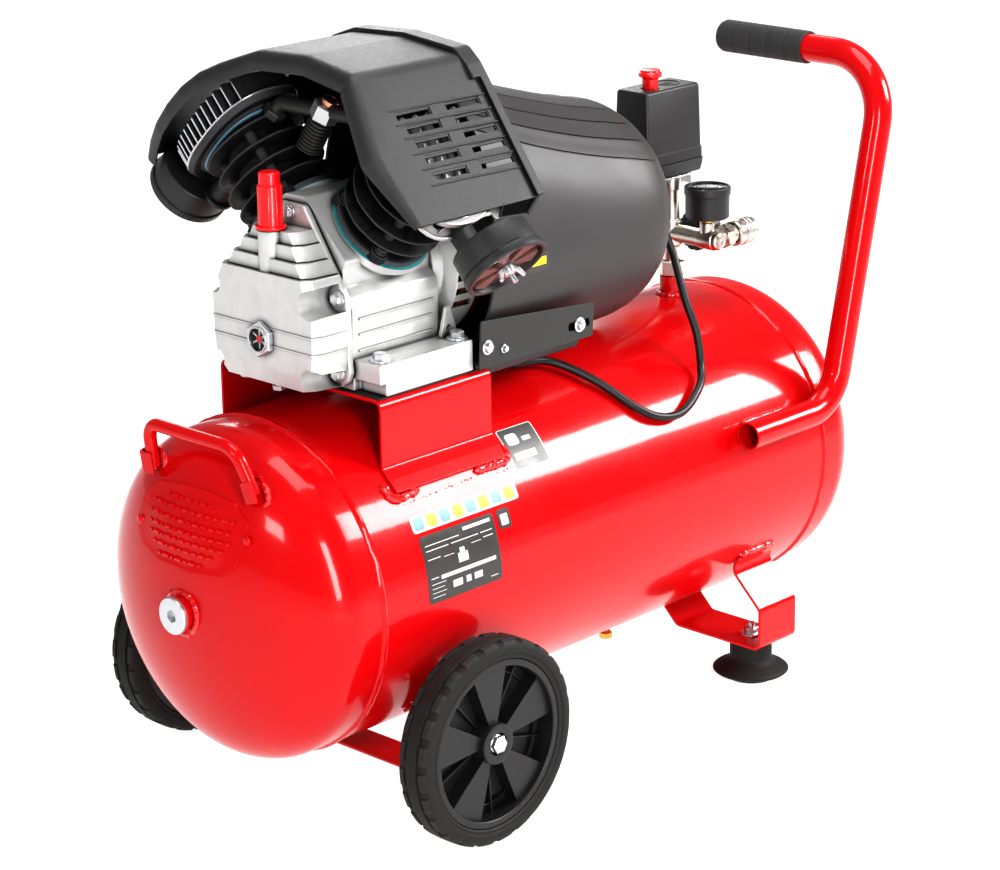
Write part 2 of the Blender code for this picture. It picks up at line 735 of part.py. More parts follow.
def build_crankshaft(mats):
    """The shaft that the motor turns: a long journal, a web with its counterweight and a short pin."""
    place = along(CRANK, X_AXIS)
    shaft = [
        (-0.1660, 0.0),
        (-0.1660, 0.0120),
        (-0.1370, 0.0120),
        (-0.1370, 0.0090),
        (0.0850, 0.0090),
        (0.0850, 0.0),
    ]
    crank = add("crankshaft", turned(shaft, 16), mats["machined_steel"], place)
    disc = prism(polygon(16, 0.0200), -0.1740, -0.1655, "z")
    cut_with(crank, "join_crank_web", disc, "UNION", place)
    sector = [(-0.004, -0.0300), (-0.004, 0.0300)]
    for i in range(9):
        a = math.radians(100 + 20 * i)
        sector.append((0.0350 * math.cos(a), 0.0350 * math.sin(a)))
    cut_with(crank, "join_counterweight", prism(sector, -0.1735, -0.1660, "z"), "UNION", place)
    pin = rod(0.0080, -0.1762, -0.1730, 12)
    cut_with(crank, "join_crank_pin", pin, "UNION", place @ Matrix.Translation((THROW, 0.0, 0.0)))


def build_pipes(mats):
    bridge_x = -0.2020
    port = HEAD_HALF + FIT
    height = 0.1380
    near = CRANK + X_AXIS * bridge_x + NEAR_UP * height - NEAR_DOWN * port
    far = CRANK + X_AXIS * bridge_x + FAR_UP * height - FAR_DOWN * port
    rise = 0.0160
    corners = [near, near - NEAR_DOWN * rise, far - FAR_DOWN * rise, far]
    add("bridge_pipe", swept(filleted(corners, [0.014, 0.014], 4), 0.0070, 10), mats["copper"])

    valve_angle = math.radians(24)
    outward = Vector((0.0, math.sin(valve_angle), math.cos(valve_angle)))
    foot = Vector((-0.045, 0.0, TANK_Z)) + outward * (TANK_R + 0.0006)
    stages = [(0.0, 0.0), (0.0, 0.0100), (0.0120, 0.0100), (0.0120, 0.0115), (0.0160, 0.0115), (0.0160, 0.0)]
    add("check_valve", turned(stages, 12), mats["brass"], along(foot, outward))


# ---------------------------------------------------------------- shroud, motor and cowl
SHROUD_LINE = [
    # (y, z, front x) round the outside of the hood, from its near lower edge to its far one
    (-0.1470, 0.5410, -0.2400),
    (-0.1090, 0.5940, -0.2540),
    (-0.0730, 0.6450, -0.2440),
    (-0.0600, 0.6560, -0.2290),
    (0.0000, 0.6620, -0.2277),
    (0.0620, 0.6590, -0.2277),
    (0.0780, 0.6520, -0.2350),
    (0.1200, 0.6340, -0.2420),
    (0.1610, 0.6050, -0.2420),
    (0.2110, 0.5550, -0.2290),
]
SHROUD_BACK = -0.0980
SHROUD_WALL = 0.0030
SPINE_LINE = [
    # (y, z) along the middle of the raised band on the hood's back edge
    (-0.1480, 0.5430),
    (-0.1115, 0.5960),
    (-0.0760, 0.6470),
    (-0.0620, 0.6595),
    (0.0000, 0.6650),
    (0.0640, 0.6620),
    (0.0800, 0.6545),
    (0.1215, 0.6365),
    (0.1625, 0.6075),
    (0.2115, 0.5580),
]
SPINE_X = -0.1160
LOUVRE_TOP = Vector((0.0, -0.0730, 0.6450))  # where the near panel begins
LOUVRE_DOWN = Vector((0.0, -0.0740, -0.1040)).normalized()  # down the near panel
LOUVRE_ROWS = (0.0315, 0.0450, 0.0590, 0.0725, 0.0880)  # each row's distance down the near panel
LOUVRE_COLUMNS = (-0.1865, -0.1295)  # middle of each column's slots in the first row
LOUVRE_LENGTH = 0.0400
LOUVRE_HEIGHT = 0.0055


def build_shroud(mats):
    """The plastic hood over both cylinder heads, which guides the motor's cooling air."""
    outline = thick_line([(y, z) for y, z, _ in SHROUD_LINE], SHROUD_WALL)
    count = len(SHROUD_LINE)
    fronts = [x for _, _, x in SHROUD_LINE]
    fronts = fronts + fronts[::-1]
    shape = bmesh.new()
    front = [shape.verts.new((x, y, z)) for (y, z), x in zip(outline, fronts)]
    back = [shape.verts.new((SHROUD_BACK, y, z)) for y, z in outline]
    for i in range(2 * count):
        j = (i + 1) % (2 * count)
        shape.faces.new((front[i], front[j], back[j], back[i]))
    for ring in (front, back):
        for i in range(count - 1):
            shape.faces.new((ring[i], ring[i + 1], ring[2 * count - 2 - i], ring[2 * count - 1 - i]))
    hood = add("pump_shroud", shape, mats["black_plastic"])
    spine = prism(thick_line(SPINE_LINE, 0.0060), SPINE_X, SHROUD_BACK + 0.0080)
    cut_with(hood, "join_hood_spine", spine, "UNION")
    outward = LOUVRE_DOWN.cross(X_AXIS)
    for row, down in enumerate(LOUVRE_ROWS):
        for column, x in enumerate(LOUVRE_COLUMNS):
            shift = 0.17 * (down - LOUVRE_ROWS[0])
            middle = LOUVRE_TOP + LOUVRE_DOWN * down + X_AXIS * (x + shift)
            half, tall = LOUVRE_LENGTH / 2, LOUVRE_HEIGHT / 2
            slot = box(-half, half, -tall, tall, -0.012, 0.012)
            cut_with(hood, f"cut_louvre_{row}_{column}", slot, place=along(middle, outward))


def cowl_radius(x, angle, inset):
    """The cowl's outer radius at a station: round behind, and swept up towards the hood in front."""
    rise = max(math.sin(angle), 0.0) ** 2
    flare = 0.30 * max(COWL_SHOULDER - x, 0.0) * rise
    if x <= COWL_SHOULDER:
        return COWL_R + flare - inset
    t = (x - COWL_SHOULDER) / (COWL_END - COWL_SHOULDER - inset)
    return (COWL_R - inset) * max(1.0 - t**2.57, 0.0) ** (1 / 2.57)


def build_cowl(mats):
    """The motor's moulded cowl: open in front, with a round air inlet in its domed end."""
    wall = 0.0028
    segments = 28
    spans = [COWL_X0, -0.040, 0.030, COWL_SHOULDER]
    reach = COWL_END - COWL_SHOULDER
    spans += [COWL_SHOULDER + reach * t for t in (0.35, 0.62, 0.82, 0.93)]
    loops = []
    for inset, stations in ((0.0, spans), (wall, spans[::-1])):
        for x in stations:
            x = min(x, COWL_SHOULDER + (reach - wall) * 0.95) if inset else x
            loops.append([(x, cowl_radius(x, 2 * math.pi * i / segments, inset), i) for i in range(segments)])
    shape = bmesh.new()
    rings = []
    for loop in loops:
        ring = []
        for x, radius, i in loop:
            angle = 2 * math.pi * i / segments
            ring.append(shape.verts.new((x, radius * math.cos(angle), CRANK_Z + radius * math.sin(angle))))
        rings.append(ring)
    for low, high in zip(rings, rings[1:] + rings[:1]):
        for i in range(segments):
            j = (i + 1) % segments
            shape.faces.new((low[i], low[j], high[j], high[i]))
    add("motor_cowl", shape, mats["black_plastic"])


def build_cowl_plate(mats):
    outline = [(-0.1270, 0.3860), (0.0190, 0.3860), (0.0215, 0.4165), (-0.1240, 0.4290)]
    plate = add("cowl_plate", prism(outline, -0.1005, -0.0985, "y"), mats["black_paint"])
    slot = box(-0.0100, 0.0160, -0.12, -0.08, 0.3945, 0.4025)
    cut_with(plate, "cut_plate_slot", slot)


def build_motor(mats):
    bell_x0 = CASE_X1 + FIT
    axis = along(CRANK, X_AXIS)
    bell = [
        (bell_x0, 0.0125),
        (bell_x0, 0.0560),
        (bell_x0 + 0.0105, 0.0560),
        (bell_x0 + 0.0145, 0.0780),
        (bell_x0 + 0.040, 0.0780),
        (bell_x0 + 0.040, 0.0735),
        (bell_x0 + 0.0190, 0.0735),
        (bell_x0 + 0.010, 0.0500),
        (bell_x0 + 0.010, 0.0125),
    ]
    add("motor_end_bell", turned(bell, 20, closed=True), mats["cast_aluminium"], axis)
    add("motor_stator", pipe(0.0728, 0.0420, -0.112, 0.020, 20), mats["winding"], axis)
    add("motor_rotor", pipe(0.0410, 0.0093, -0.100, 0.015, 20), mats["machined_steel"], axis)
    hub = add("cooling_fan", pipe(0.0200, 0.0093, 0.050, 0.078, 16), mats["black_plastic"], axis)
    for i in range(7):
        blade = box(0.054, 0.074, -0.0012, 0.0012, 0.0190, 0.0760)
        turn = Matrix.Rotation(2 * math.pi * i / 7, 4, "X")
        cut_with(hub, f"join_blade_{i}", blade, "UNION", Matrix.Translation(CRANK) @ turn)


def build_motor_cable(mats):
    """The lead from the motor to the pressure switch, in a loop that lies on the tank's shoulder."""
    route = [
        (-0.0450, -0.0480, 0.3722),
        (-0.0430, -0.0490, 0.3665),
        (-0.0300, -0.0520, 0.3600),
        (0.0080, -0.0600, 0.3560),
        (0.0360, -0.0900, 0.3380),
        (0.0640, -0.1190, 0.3100),
        (0.0870, -0.1290, 0.2985),
        (0.1150, -0.1310, 0.2985),
        (0.1480, -0.1220, 0.3130),
        (0.1640, -0.1100, 0.3260),
        (0.1690, -0.1000, 0.3560),
        (0.1660, -0.0880, 0.3880),
        (0.1720, -0.0680, 0.4260),
        (0.1880, -0.0380, 0.4520),
        (0.2060, -0.0120, 0.4640),
        (0.2150, 0.0000, 0.4710),
        (0.2155, 0.0010, 0.4762),
    ]
    path = smooth_route(route, 0.0150)
    curve = bpy.data.curves.new("motor_cable", "CURVE")
    curve.dimensions = "3D"
    curve.bevel_depth = 0.0038
    curve.bevel_resolution = 2
    curve.use_fill_caps = True
    spline = curve.splines.new("POLY")
    spline.points.add(len(path) - 1)
    for point, place in zip(spline.points, path):
        point.co = (*place, 1.0)
    curve.materials.append(mats["rubber"])
    cable = bpy.data.objects.new("motor_cable", curve)
    bpy.context.collection.objects.link(cable)


# ---------------------------------------------------------------- switch and outlet
def build_outlet(mats):
    upright = Matrix.Translation((PORT_X, 0.0, 0.0))
    socket_bottom = TANK_Z + TANK_R + FIT
    socket = pipe(0.0110, 0.0070, socket_bottom, 0.3790, 16)
    add("outlet_socket", socket, mats["red_paint"], upright)
    post = add("outlet_manifold", turned([(0.3795, 0.0), (0.3795, 0.0115), (0.3940, 0.0115), (0.3940, 0.0080),
                                          (0.4788, 0.0080), (0.4788, 0.0)], 16), mats["nickel"], upright)
    bar = rod(0.0090, -0.0600, 0.0160, 16)
    cut_with(post, "join_outlet_bar", bar, "UNION", along((PORT_X, 0.0, BAR_Z), Y_AXIS))
    riser = rod(0.0070, BAR_Z, 0.4425, 12)
    cut_with(post, "join_gauge_riser", riser, "UNION", Matrix.Translation((PORT_X, GAUGE_Y, 0.0)))
    branch = rod(0.0080, 0.0, 0.0165, 12)
    cut_with(post, "join_coupler_branch", branch, "UNION", along((PORT_X, COUPLER_Y, BAR_Z), X_AXIS))


def build_gauge(mats):
    place = Matrix.Translation((PORT_X, GAUGE_Y, 0.0))
    case = [
        (0.4430, 0.0),
        (0.4430, 0.0200),
        (0.4440, 0.0210),
        (0.4660, 0.0210),
        (0.4660, 0.0222),
        (0.4735, 0.0222),
        (0.4735, 0.0198),
        (0.4680, 0.0198),
        (0.4680, 0.0),
    ]
    add("gauge_body", turned(case, 20), mats["black_plastic"], place)
    needle = add("gauge_needle", rod(0.0022, 0.4684, 0.4704, 10), mats["black_paint"], place)
    pointer = prism([(-0.0050, -0.0008), (0.0150, -0.0003), (0.0150, 0.0003), (-0.0050, 0.0008)], 0.4688, 0.4698, "z")
    cut_with(needle, "join_pointer", pointer, "UNION", place)
    add("gauge_lens", rod(0.0194, 0.4712, 0.4728, 20), mats["clear"], place)


def build_coupler(mats):
    start = PORT_X + 0.0168
    place = along((start, COUPLER_Y, BAR_Z), X_AXIS)
    body = [
        (0.0, 0.0050),
        (0.0, 0.0120),
        (0.0085, 0.0120),
        (0.0085, 0.0098),
        (0.0440, 0.0098),
        (0.0440, 0.0055),
        (0.0200, 0.0055),
        (0.0200, 0.0050),
    ]
    add("coupler_body", turned(body, 16, closed=True), mats["nickel"], place)
    sleeve = [
        (0.0150, 0.0101),
        (0.0150, 0.0125),
        (0.0180, 0.0132),
        (0.0400, 0.0132),
        (0.0420, 0.0122),
        (0.0420, 0.0101),
    ]
    add("coupler_sleeve", turned(sleeve, 16, closed=True), mats["nickel"], place)


def build_regulator_knob(mats):
    place = along((PORT_X, -0.0150, BAR_Z), X_AXIS)
    knob = [
        (0.0095, 0.0),
        (0.0095, 0.0120),
        (0.0150, 0.0120),
        (0.0150, 0.0190),
        (0.0360, 0.0195),
        (0.0380, 0.0175),
        (0.0380, 0.0),
    ]
    add("regulator_knob", turned(knob, 16), mats["black_plastic"], place)


def build_safety_valve(mats):
    place = along((PORT_X, 0.0163, BAR_Z), Y_AXIS)
    body = [
        (0.0, 0.0),
        (0.0, 0.0075),
        (0.0080, 0.0085),
        (0.0240, 0.0085),
        (0.0240, 0.0030),
        (0.0100, 0.0030),
        (0.0100, 0.0),
    ]
    add("safety_valve", turned(body, 12), mats["brass"], place)
    stem = [
        (0.0110, 0.0),
        (0.0110, 0.0026),
        (0.0262, 0.0026),
        (0.0262, 0.0070),
        (0.0285, 0.0070),
        (0.0285, 0.0),
    ]
    add("safety_valve_ring", turned(stem, 12), mats["zinc"], place)


def tapered_box(x, y, low, high, half_low, half_high):
    """A box whose half sizes (x, y) change from bottom to top."""
    shape = bmesh.new()
    rings = []
    for z, (hx, hy) in ((low, half_low), (high, half_high)):
        signs = ((-1, -1), (1, -1), (1, 1), (-1, 1))
        rings.append([shape.verts.new((x + sx * hx, y + sy * hy, z)) for sx, sy in signs])
    for i in range(4):
        j = (i + 1) % 4
        shape.faces.new((rings[0][i], rings[0][j], rings[1][j], rings[1][i]))
    shape.faces.new(rings[0])
    shape.faces.new(rings[1])
    return shape


def build_switch(mats):
    base_low = 0.4791
    split = 0.4925
    top = 0.5650
    base = add(
        "switch_base",
        tapered_box(SWITCH_X, SWITCH_Y, base_low, split, (0.0400, 0.0215), (0.0415, 0.0230)),
        mats["black_plastic"],
    )
    well = tapered_box(SWITCH_X, SWITCH_Y, base_low + 0.004, split + 0.01, (0.0360, 0.0175), (0.0380, 0.0195))
    cut_with(base, "cut_switch_base", well)
    cover = add(
        "switch_cover",
        tapered_box(SWITCH_X, SWITCH_Y, split + FIT, top, (0.0405, 0.0220), (0.0386, 0.0190)),
        mats["black_plastic"],
    )
    room = tapered_box(SWITCH_X, SWITCH_Y, split - 0.01, top - 0.003, (0.0385, 0.0200), (0.0360, 0.0165))
    cut_with(cover, "cut_switch_room", room)
    knob_place = Matrix.Translation((0.2235, 0.0040, 0.0))
    cut_with(cover, "cut_knob_hole", rod(0.0095, top - 0.01, top + 0.01, 16), place=knob_place)
    contacts = box(SWITCH_X - 0.0050, SWITCH_X + 0.0300, SWITCH_Y - 0.0130, SWITCH_Y + 0.0130, 0.4840, 0.5200)
    add("switch_contacts", contacts, mats["clear"])
    knob = [
        (top - 0.0240, 0.0),
        (top - 0.0240, 0.0085),
        (top + 0.0110, 0.0085),
        (top + 0.0125, 0.0112),
        (top + 0.0195, 0.0112),
        (top + 0.0205, 0.0105),
        (top + 0.0205, 0.0),
    ]
    add("switch_knob", turned(knob, 16), mats["red_plastic"], knob_place)


# ---------------------------------------------------------------- the whole compressor
def build_pump(mats):
    build_crankcase(mats)
    build_crankcase_cover(mats)
    build_breather_plug(mats)
    build_sight_glass(mats)
    build_crankshaft(mats)
    build_near_head(mats)
    build_far_head(mats)
    build_pipes(mats)
    sides = (
        ("near", NEAR_CYL_X, NEAR_UP, NEAR_DOWN, 0.1580, 0.1142),
        ("far", FAR_CYL_X, FAR_UP, FAR_DOWN, 0.1660, 0.1062),
    )
    for name, x, up, down, filter_height, filter_face in sides:
        build_cylinder(name, x, up, mats)
        build_piston(name, x, up, mats)
        build_air_filter(name, x, up, down, filter_height, filter_face, mats)


def main():
    clear_scene()
    mats = make_materials()
    build_tank(mats)
    build_front_plug(mats)
    build_saddle(mats)
    build_brackets(mats)
    build_feet(mats)
    build_handles(mats)
    build_wheels(mats)
    build_drain(mats)
    build_pump(mats)
    build_shroud(mats)
    build_cowl(mats)
    build_cowl_plate(mats)
    build_motor(mats)
    build_motor_cable(mats)
    build_outlet(mats)
    build_gauge(mats)
    build_coupler(mats)
    build_regulator_knob(mats)
    build_safety_valve(mats)
    build_switch(mats)


main()
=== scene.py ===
"""The looks of the air compressor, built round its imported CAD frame. Lengths are in metres."""
import math

import bmesh
import bpy
from mathutils import Matrix, Vector, noise


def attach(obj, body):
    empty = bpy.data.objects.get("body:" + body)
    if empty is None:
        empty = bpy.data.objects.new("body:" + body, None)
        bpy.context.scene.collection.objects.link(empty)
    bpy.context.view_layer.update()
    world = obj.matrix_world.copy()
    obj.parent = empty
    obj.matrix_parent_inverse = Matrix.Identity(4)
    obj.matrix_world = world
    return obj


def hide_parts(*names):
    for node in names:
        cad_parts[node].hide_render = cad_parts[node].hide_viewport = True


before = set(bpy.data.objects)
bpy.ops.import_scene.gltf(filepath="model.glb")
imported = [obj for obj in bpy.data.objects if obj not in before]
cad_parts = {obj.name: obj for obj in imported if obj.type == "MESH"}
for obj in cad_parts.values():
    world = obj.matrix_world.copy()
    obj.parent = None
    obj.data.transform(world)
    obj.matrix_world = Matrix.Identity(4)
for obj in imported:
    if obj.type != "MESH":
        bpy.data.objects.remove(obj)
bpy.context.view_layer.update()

X_AXIS = Vector((1.0, 0.0, 0.0))
Y_AXIS = Vector((0.0, 1.0, 0.0))
Z_AXIS = Vector((0.0, 0.0, 1.0))
NEAR_UP = Vector((0.0, -1.0, 1.0)).normalized()  # near cylinder's axis
FAR_UP = Vector((0.0, 1.0, 1.0)).normalized()  # far cylinder's axis
NEAR_DOWN = Vector((0.0, -1.0, -1.0)).normalized()  # near air filter's axis
FAR_DOWN = Vector((0.0, 1.0, -1.0)).normalized()  # far air filter's axis
IDENTITY = Matrix.Identity(4)

CRANK_Z = 0.471
CRANK = Vector((0.0, 0.0, CRANK_Z))
TANK_Z = 0.21
TANK_R = 0.15
TANK_X = 0.006
NEAR_CYL_X = -0.183
FAR_CYL_X = -0.195
STRIP = 0.003  # thickness of the bent steel brackets
STRAP_REACH = TANK_R + STRIP / 2 + 0.0003  # from the tank's axis to the middle of a bracket that lies on it
BARREL_HALF = 0.297  # half the rolled shell, from the middle to a seam
HEAD_START = BARREL_HALF + 0.022  # where a head's straight skirt ends and its dome begins
HEAD_DEPTH = 0.072
SADDLE_Y = 0.1014
SADDLE_Z = 0.384
FOOT_X = 0.2272
FOOT_Y = 0.1235
STRAP_Z = 0.0415  # the foot straps' level part
WHEEL_X = -0.212
WHEEL_Y = 0.1875
WHEEL_Z = 0.092
HANDLE_X = 0.381
HANDLE_Z = 0.59
COVER_X = -0.283  # flat face of the crankcase cover
GLASS_Z = 0.429
FILLER_X = -0.2687
DECK = 0.0641  # from the crankshaft's axis to the cylinders' seats
PORT_UP = 0.1365  # from the crankshaft's axis up a cylinder to its side port
OUTLET_X = 0.2498
BAR_Z = 0.4215  # the outlet's cross bar
BUTTON = (0.225, 0.006, 0.0)

CAMERA_PLACE = (-1.9144, -1.8376, 1.1248)
CAMERA_TURNS = (-46.2643, 17.7616, -0.7643)  # round Z, up from level, and tilt, in degrees
CAMERA_LENS = 108.3  # in millimetres
SURROUND = 0.28  # strength of the white light from all round


def show(made):
    """Puts an object in the scene."""
    bpy.context.scene.collection.objects.link(made)


def shift(x, y, z):
    """A placement that only moves."""
    return Matrix.Translation((x, y, z))


def spin(angle):
    """A placement that only turns, about Z."""
    return Matrix.Rotation(angle, 4, "Z")


# ---------------------------------------------------------------- camera
def place_camera():
    """A long lens that looks down on the compressor's wheel end and near side."""
    turn, lift, tilt = (math.radians(a) for a in CAMERA_TURNS)
    back = Vector((math.sin(turn) * math.cos(lift), -math.cos(turn) * math.cos(lift), math.sin(lift)))
    right = Vector((math.cos(turn), math.sin(turn), 0.0))
    up = back.cross(right)
    across = right * math.cos(tilt) + up * math.sin(tilt)
    upward = up * math.cos(tilt) - right * math.sin(tilt)
    data = bpy.data.cameras.new("studio_camera")
    data.lens = CAMERA_LENS
    data.sensor_width = 36.0
    data.clip_end = 50.0
    camera = bpy.data.objects.new("studio_camera", data)
    turned_to = Matrix((across, upward, back)).transposed().to_4x4()
    camera.matrix_world = Matrix.Translation(CAMERA_PLACE) @ turned_to
    show(camera)
    bpy.context.scene.camera = camera


# ---------------------------------------------------------------- materials
def finish(name, colour, roughness, metallic=0.0, tint=0.12, patch=30.0, spread=0.06, grain=900.0, bump=0.1,
        ripple=0.0, ripple_scale=45.0, coat=0.0, coat_roughness=0.06, worn=None,
        specular=0.5, glow=0.0, shade=0.0):
    """A procedural finish: patchy colour and gloss, fine grain, a slow ripple, worn edges, painted shade in
    corners.
    """
    made = bpy.data.materials.new(name)
    made.use_nodes = True
    tree = made.node_tree
    shader = tree.nodes["Principled BSDF"]
    shader.inputs["Metallic"].default_value = metallic
    shader.inputs["Coat Weight"].default_value = coat
    shader.inputs["Coat Roughness"].default_value = coat_roughness
    shader.inputs["Specular IOR Level"].default_value = specular
    shader.inputs["Emission Color"].default_value = (1.0, 1.0, 1.0, 1.0)
    shader.inputs["Emission Strength"].default_value = glow

    def node(kind, **inputs):
        new = tree.nodes.new(kind)
        for key, value in inputs.items():
            new.inputs[key].default_value = value
        return new

    place = tree.nodes.new("ShaderNodeTexCoord").outputs["Object"]
    patches = node("ShaderNodeTexNoise", Scale=patch, Detail=5.0, Roughness=0.6)
    fine = node("ShaderNodeTexNoise", Scale=grain, Detail=3.0, Roughness=0.7)
    tree.links.new(place, patches.inputs["Vector"])
    tree.links.new(place, fine.inputs["Vector"])

    shades = tree.nodes.new("ShaderNodeValToRGB")
    shades.color_ramp.elements[0].position = 0.3
    shades.color_ramp.elements[1].position = 0.7
    shades.color_ramp.elements[0].color = (*(c * (1 - tint) for c in colour), 1.0)
    shades.color_ramp.elements[1].color = (*(min(c * (1 + tint), 1.0) for c in colour), 1.0)
    tree.links.new(patches.outputs["Fac"], shades.inputs["Fac"])
    colour_out = shades.outputs["Color"]

    if worn:
        edge = node("ShaderNodeMapRange")
        tree.links.new(tree.nodes.new("ShaderNodeNewGeometry").outputs["Pointiness"], edge.inputs["Value"])
        edge.inputs["From Min"].default_value = 0.53
        edge.inputs["From Max"].default_value = 0.62
        mix = tree.nodes.new("ShaderNodeMix")
        mix.data_type = "RGBA"
        tree.links.new(edge.outputs["Result"], mix.inputs["Factor"])
        tree.links.new(colour_out, mix.inputs[6])
        mix.inputs[7].default_value = (*worn, 1.0)
        colour_out = mix.outputs[2]
    if shade:
        # Painted shade: the colour is darkened where ambient occlusion finds corners and crevices.
        corner = node("ShaderNodeAmbientOcclusion", Distance=0.007)
        corner.samples = 6
        painted_corner_shade = node("ShaderNodeMapRange")
        painted_corner_shade.inputs["From Min"].default_value = 0.35
        painted_corner_shade.inputs["From Max"].default_value = 0.95
        painted_corner_shade.inputs["To Min"].default_value = 1.0 - shade
        tree.links.new(corner.outputs["AO"], painted_corner_shade.inputs["Value"])
        darker = tree.nodes.new("ShaderNodeMix")
        darker.data_type = "RGBA"
        darker.blend_type = "MULTIPLY"
        darker.inputs["Factor"].default_value = 1.0
        tree.links.new(colour_out, darker.inputs[6])
        tree.links.new(painted_corner_shade.outputs["Result"], darker.inputs[7])
        colour_out = darker.outputs[2]
    tree.links.new(colour_out, shader.inputs["Base Color"])

    gloss = node("ShaderNodeMapRange")
    gloss.inputs["From Min"].default_value = 0.3
    gloss.inputs["From Max"].default_value = 0.7
    gloss.inputs["To Min"].default_value = max(roughness - spread, 0.02)
    gloss.inputs["To Max"].default_value = min(roughness + spread, 1.0)
    tree.links.new(patches.outputs["Fac"], gloss.inputs["Value"])
    tree.links.new(gloss.outputs["Result"], shader.inputs["Roughness"])

    raised = node("ShaderNodeBump", Strength=bump, Distance=0.0004)
    tree.links.new(fine.outputs["Fac"], raised.inputs["Height"])
    if ripple:
        slow = node("ShaderNodeTexNoise", Scale=ripple_scale, Detail=2.0)
        tree.links.new(place, slow.inputs["Vector"])
        wave = node("ShaderNodeBump", Strength=ripple, Distance=0.002)
        tree.links.new(slow.outputs["Fac"], wave.inputs["Height"])
        tree.links.new(wave.outputs["Normal"], raised.inputs["Normal"])
        if coat:
            tree.links.new(wave.outputs["Normal"], shader.inputs["Coat Normal"])
    tree.links.new(raised.outputs["Normal"], shader.inputs["Normal"])
    return made


def make_finishes():
    """Every finish by its short name."""
    red = (0.56, 0.003, 0.006)
    return {"red_paint": finish("red_gloss", red, 0.24, tint=0.04, patch=9.0, bump=0.02, grain=500.0,
            ripple=0.05, ripple_scale=40.0, coat=0.5, coat_roughness=0.08, specular=0.12),
            "red_weld": finish("red_weld_bead", (0.6, 0.004, 0.008), 0.22, tint=0.08, patch=200.0, bump=0.25,
            # The cast aluminium takes painted shade in its corners, through shade=1.0.
            grain=420.0, ripple=0.3, ripple_scale=300.0, coat=1.0), "aluminium": finish("cast_aluminium_skin",
            (0.62, 0.62, 0.61), 0.36, 0.48, tint=0.07, patch=60.0, bump=0.3, grain=1300.0, ripple=0.05,
            ripple_scale=160.0, shade=1.0), "bare_edge": finish("machined_edge", (0.72, 0.73, 0.74), 0.3, 0.9,
            tint=0.1, patch=150.0), "steel": finish("turned_steel", (0.56, 0.56, 0.57), 0.28, 1.0, tint=0.1,
            patch=90.0, bump=0.08), "zinc": finish("bright_zinc", (0.62, 0.63, 0.65), 0.3, 0.85, tint=0.05,
            patch=90.0, bump=0.03), "nickel": finish("plated_nickel", (0.68, 0.63, 0.57), 0.31, 1.0,
            tint=0.06, patch=120.0, bump=0.05, grain=300.0),
            "brass": finish("lacquered_brass", (0.83, 0.55, 0.16), 0.24, 1.0, tint=0.1, patch=120.0),
            "copper": finish("drawn_copper", (0.75, 0.38, 0.24), 0.3, 1.0, tint=0.12, patch=90.0),
            "black_casting": finish("black_casting", (0.012, 0.012, 0.013), 0.55, tint=0.3, patch=120.0,
            spread=0.12, bump=0.9, grain=900.0, worn=(0.1, 0.1, 0.105), specular=0.35),
            "black_paint": finish("black_sheet_paint", (0.032, 0.031, 0.03), 0.42, tint=0.08, patch=40.0,
            bump=0.1, grain=900.0), "hood": finish("grained_hood_plastic", (0.029, 0.029, 0.03), 0.42,
            tint=0.14, patch=400.0, spread=0.08, bump=0.85, grain=1000.0),
            "cowl": finish("satin_cowl_plastic", (0.043, 0.041, 0.041), 0.46, tint=0.08, patch=14.0,
            spread=0.04, bump=0.1, grain=1300.0, ripple=0.04, ripple_scale=30.0),
            "plastic": finish("moulded_black_plastic", (0.026, 0.026, 0.027), 0.36, tint=0.14, patch=400.0,
            spread=0.07, bump=0.6, grain=900.0), "rim": finish("satin_rim_plastic", (0.018, 0.018, 0.019),
            0.4, tint=0.12, patch=45.0, spread=0.06, bump=0.18, grain=1100.0),
            "rubber": finish("tyre_rubber", (0.017, 0.016, 0.015), 0.66, tint=0.25, patch=70.0, spread=0.1,
            bump=0.45, grain=800.0, worn=(0.06, 0.055, 0.05), specular=0.4),
            "grip": finish("soft_grip_rubber", (0.045, 0.045, 0.047), 0.8, tint=0.12, patch=80.0, bump=0.7,
            grain=1300.0), "cable": finish("cable_sheath", (0.012, 0.012, 0.013), 0.4, tint=0.2, patch=80.0,
            bump=0.15, grain=700.0), "red_plastic": finish("red_cap_plastic", (0.8, 0.008, 0.012), 0.3,
            tint=0.05, patch=60.0, bump=0.06, grain=700.0, coat=0.3),
            "gasket": finish("teal_gasket", (0.02, 0.22, 0.24), 0.55, tint=0.15, patch=200.0),
            # The filter face is dark reddish brown, with paler pinkish edges.
            "filter_face": finish("reddish_brown_filter_face", (0.06, 0.028, 0.024), 0.5, tint=0.3, patch=90.0,
            bump=0.3, worn=(0.3, 0.12, 0.1)), "label_grey": finish("printed_grey_label", (0.055, 0.05, 0.048),
            0.35, tint=0.05, patch=70.0, bump=0.03), "label_pale": finish("printed_pale_label",
            (0.62, 0.6, 0.58), 0.35, tint=0.04, patch=70.0, bump=0.03),
            "label_blue": finish("printed_blue_label", (0.16, 0.3, 0.36), 0.35, tint=0.15, patch=70.0,
            bump=0.03), "yellow": finish("printed_yellow_label", (0.8, 0.68, 0.02), 0.35, tint=0.05,
            patch=70.0, bump=0.03), "dial": finish("printed_dial", (0.86, 0.86, 0.84), 0.5, tint=0.02,
            # This near-black finish serves printed marks and seals, and also painted shade in pockets,
            # grooves and openings.
            patch=90.0, bump=0.02), "dark": finish("near_black_print_and_shade", (0.004, 0.004, 0.004), 0.8, tint=0.2,
            patch=90.0, specular=0.1), "winding": finish("varnished_winding", (0.3, 0.1, 0.04), 0.4, 0.6,
            tint=0.2, patch=200.0, bump=0.5), "floor": finish("paper_floor", (0.45, 0.45, 0.45), 0.85,
            tint=0.01, patch=3.0, bump=0.03, grain=400.0, specular=0.0, glow=0.62)}


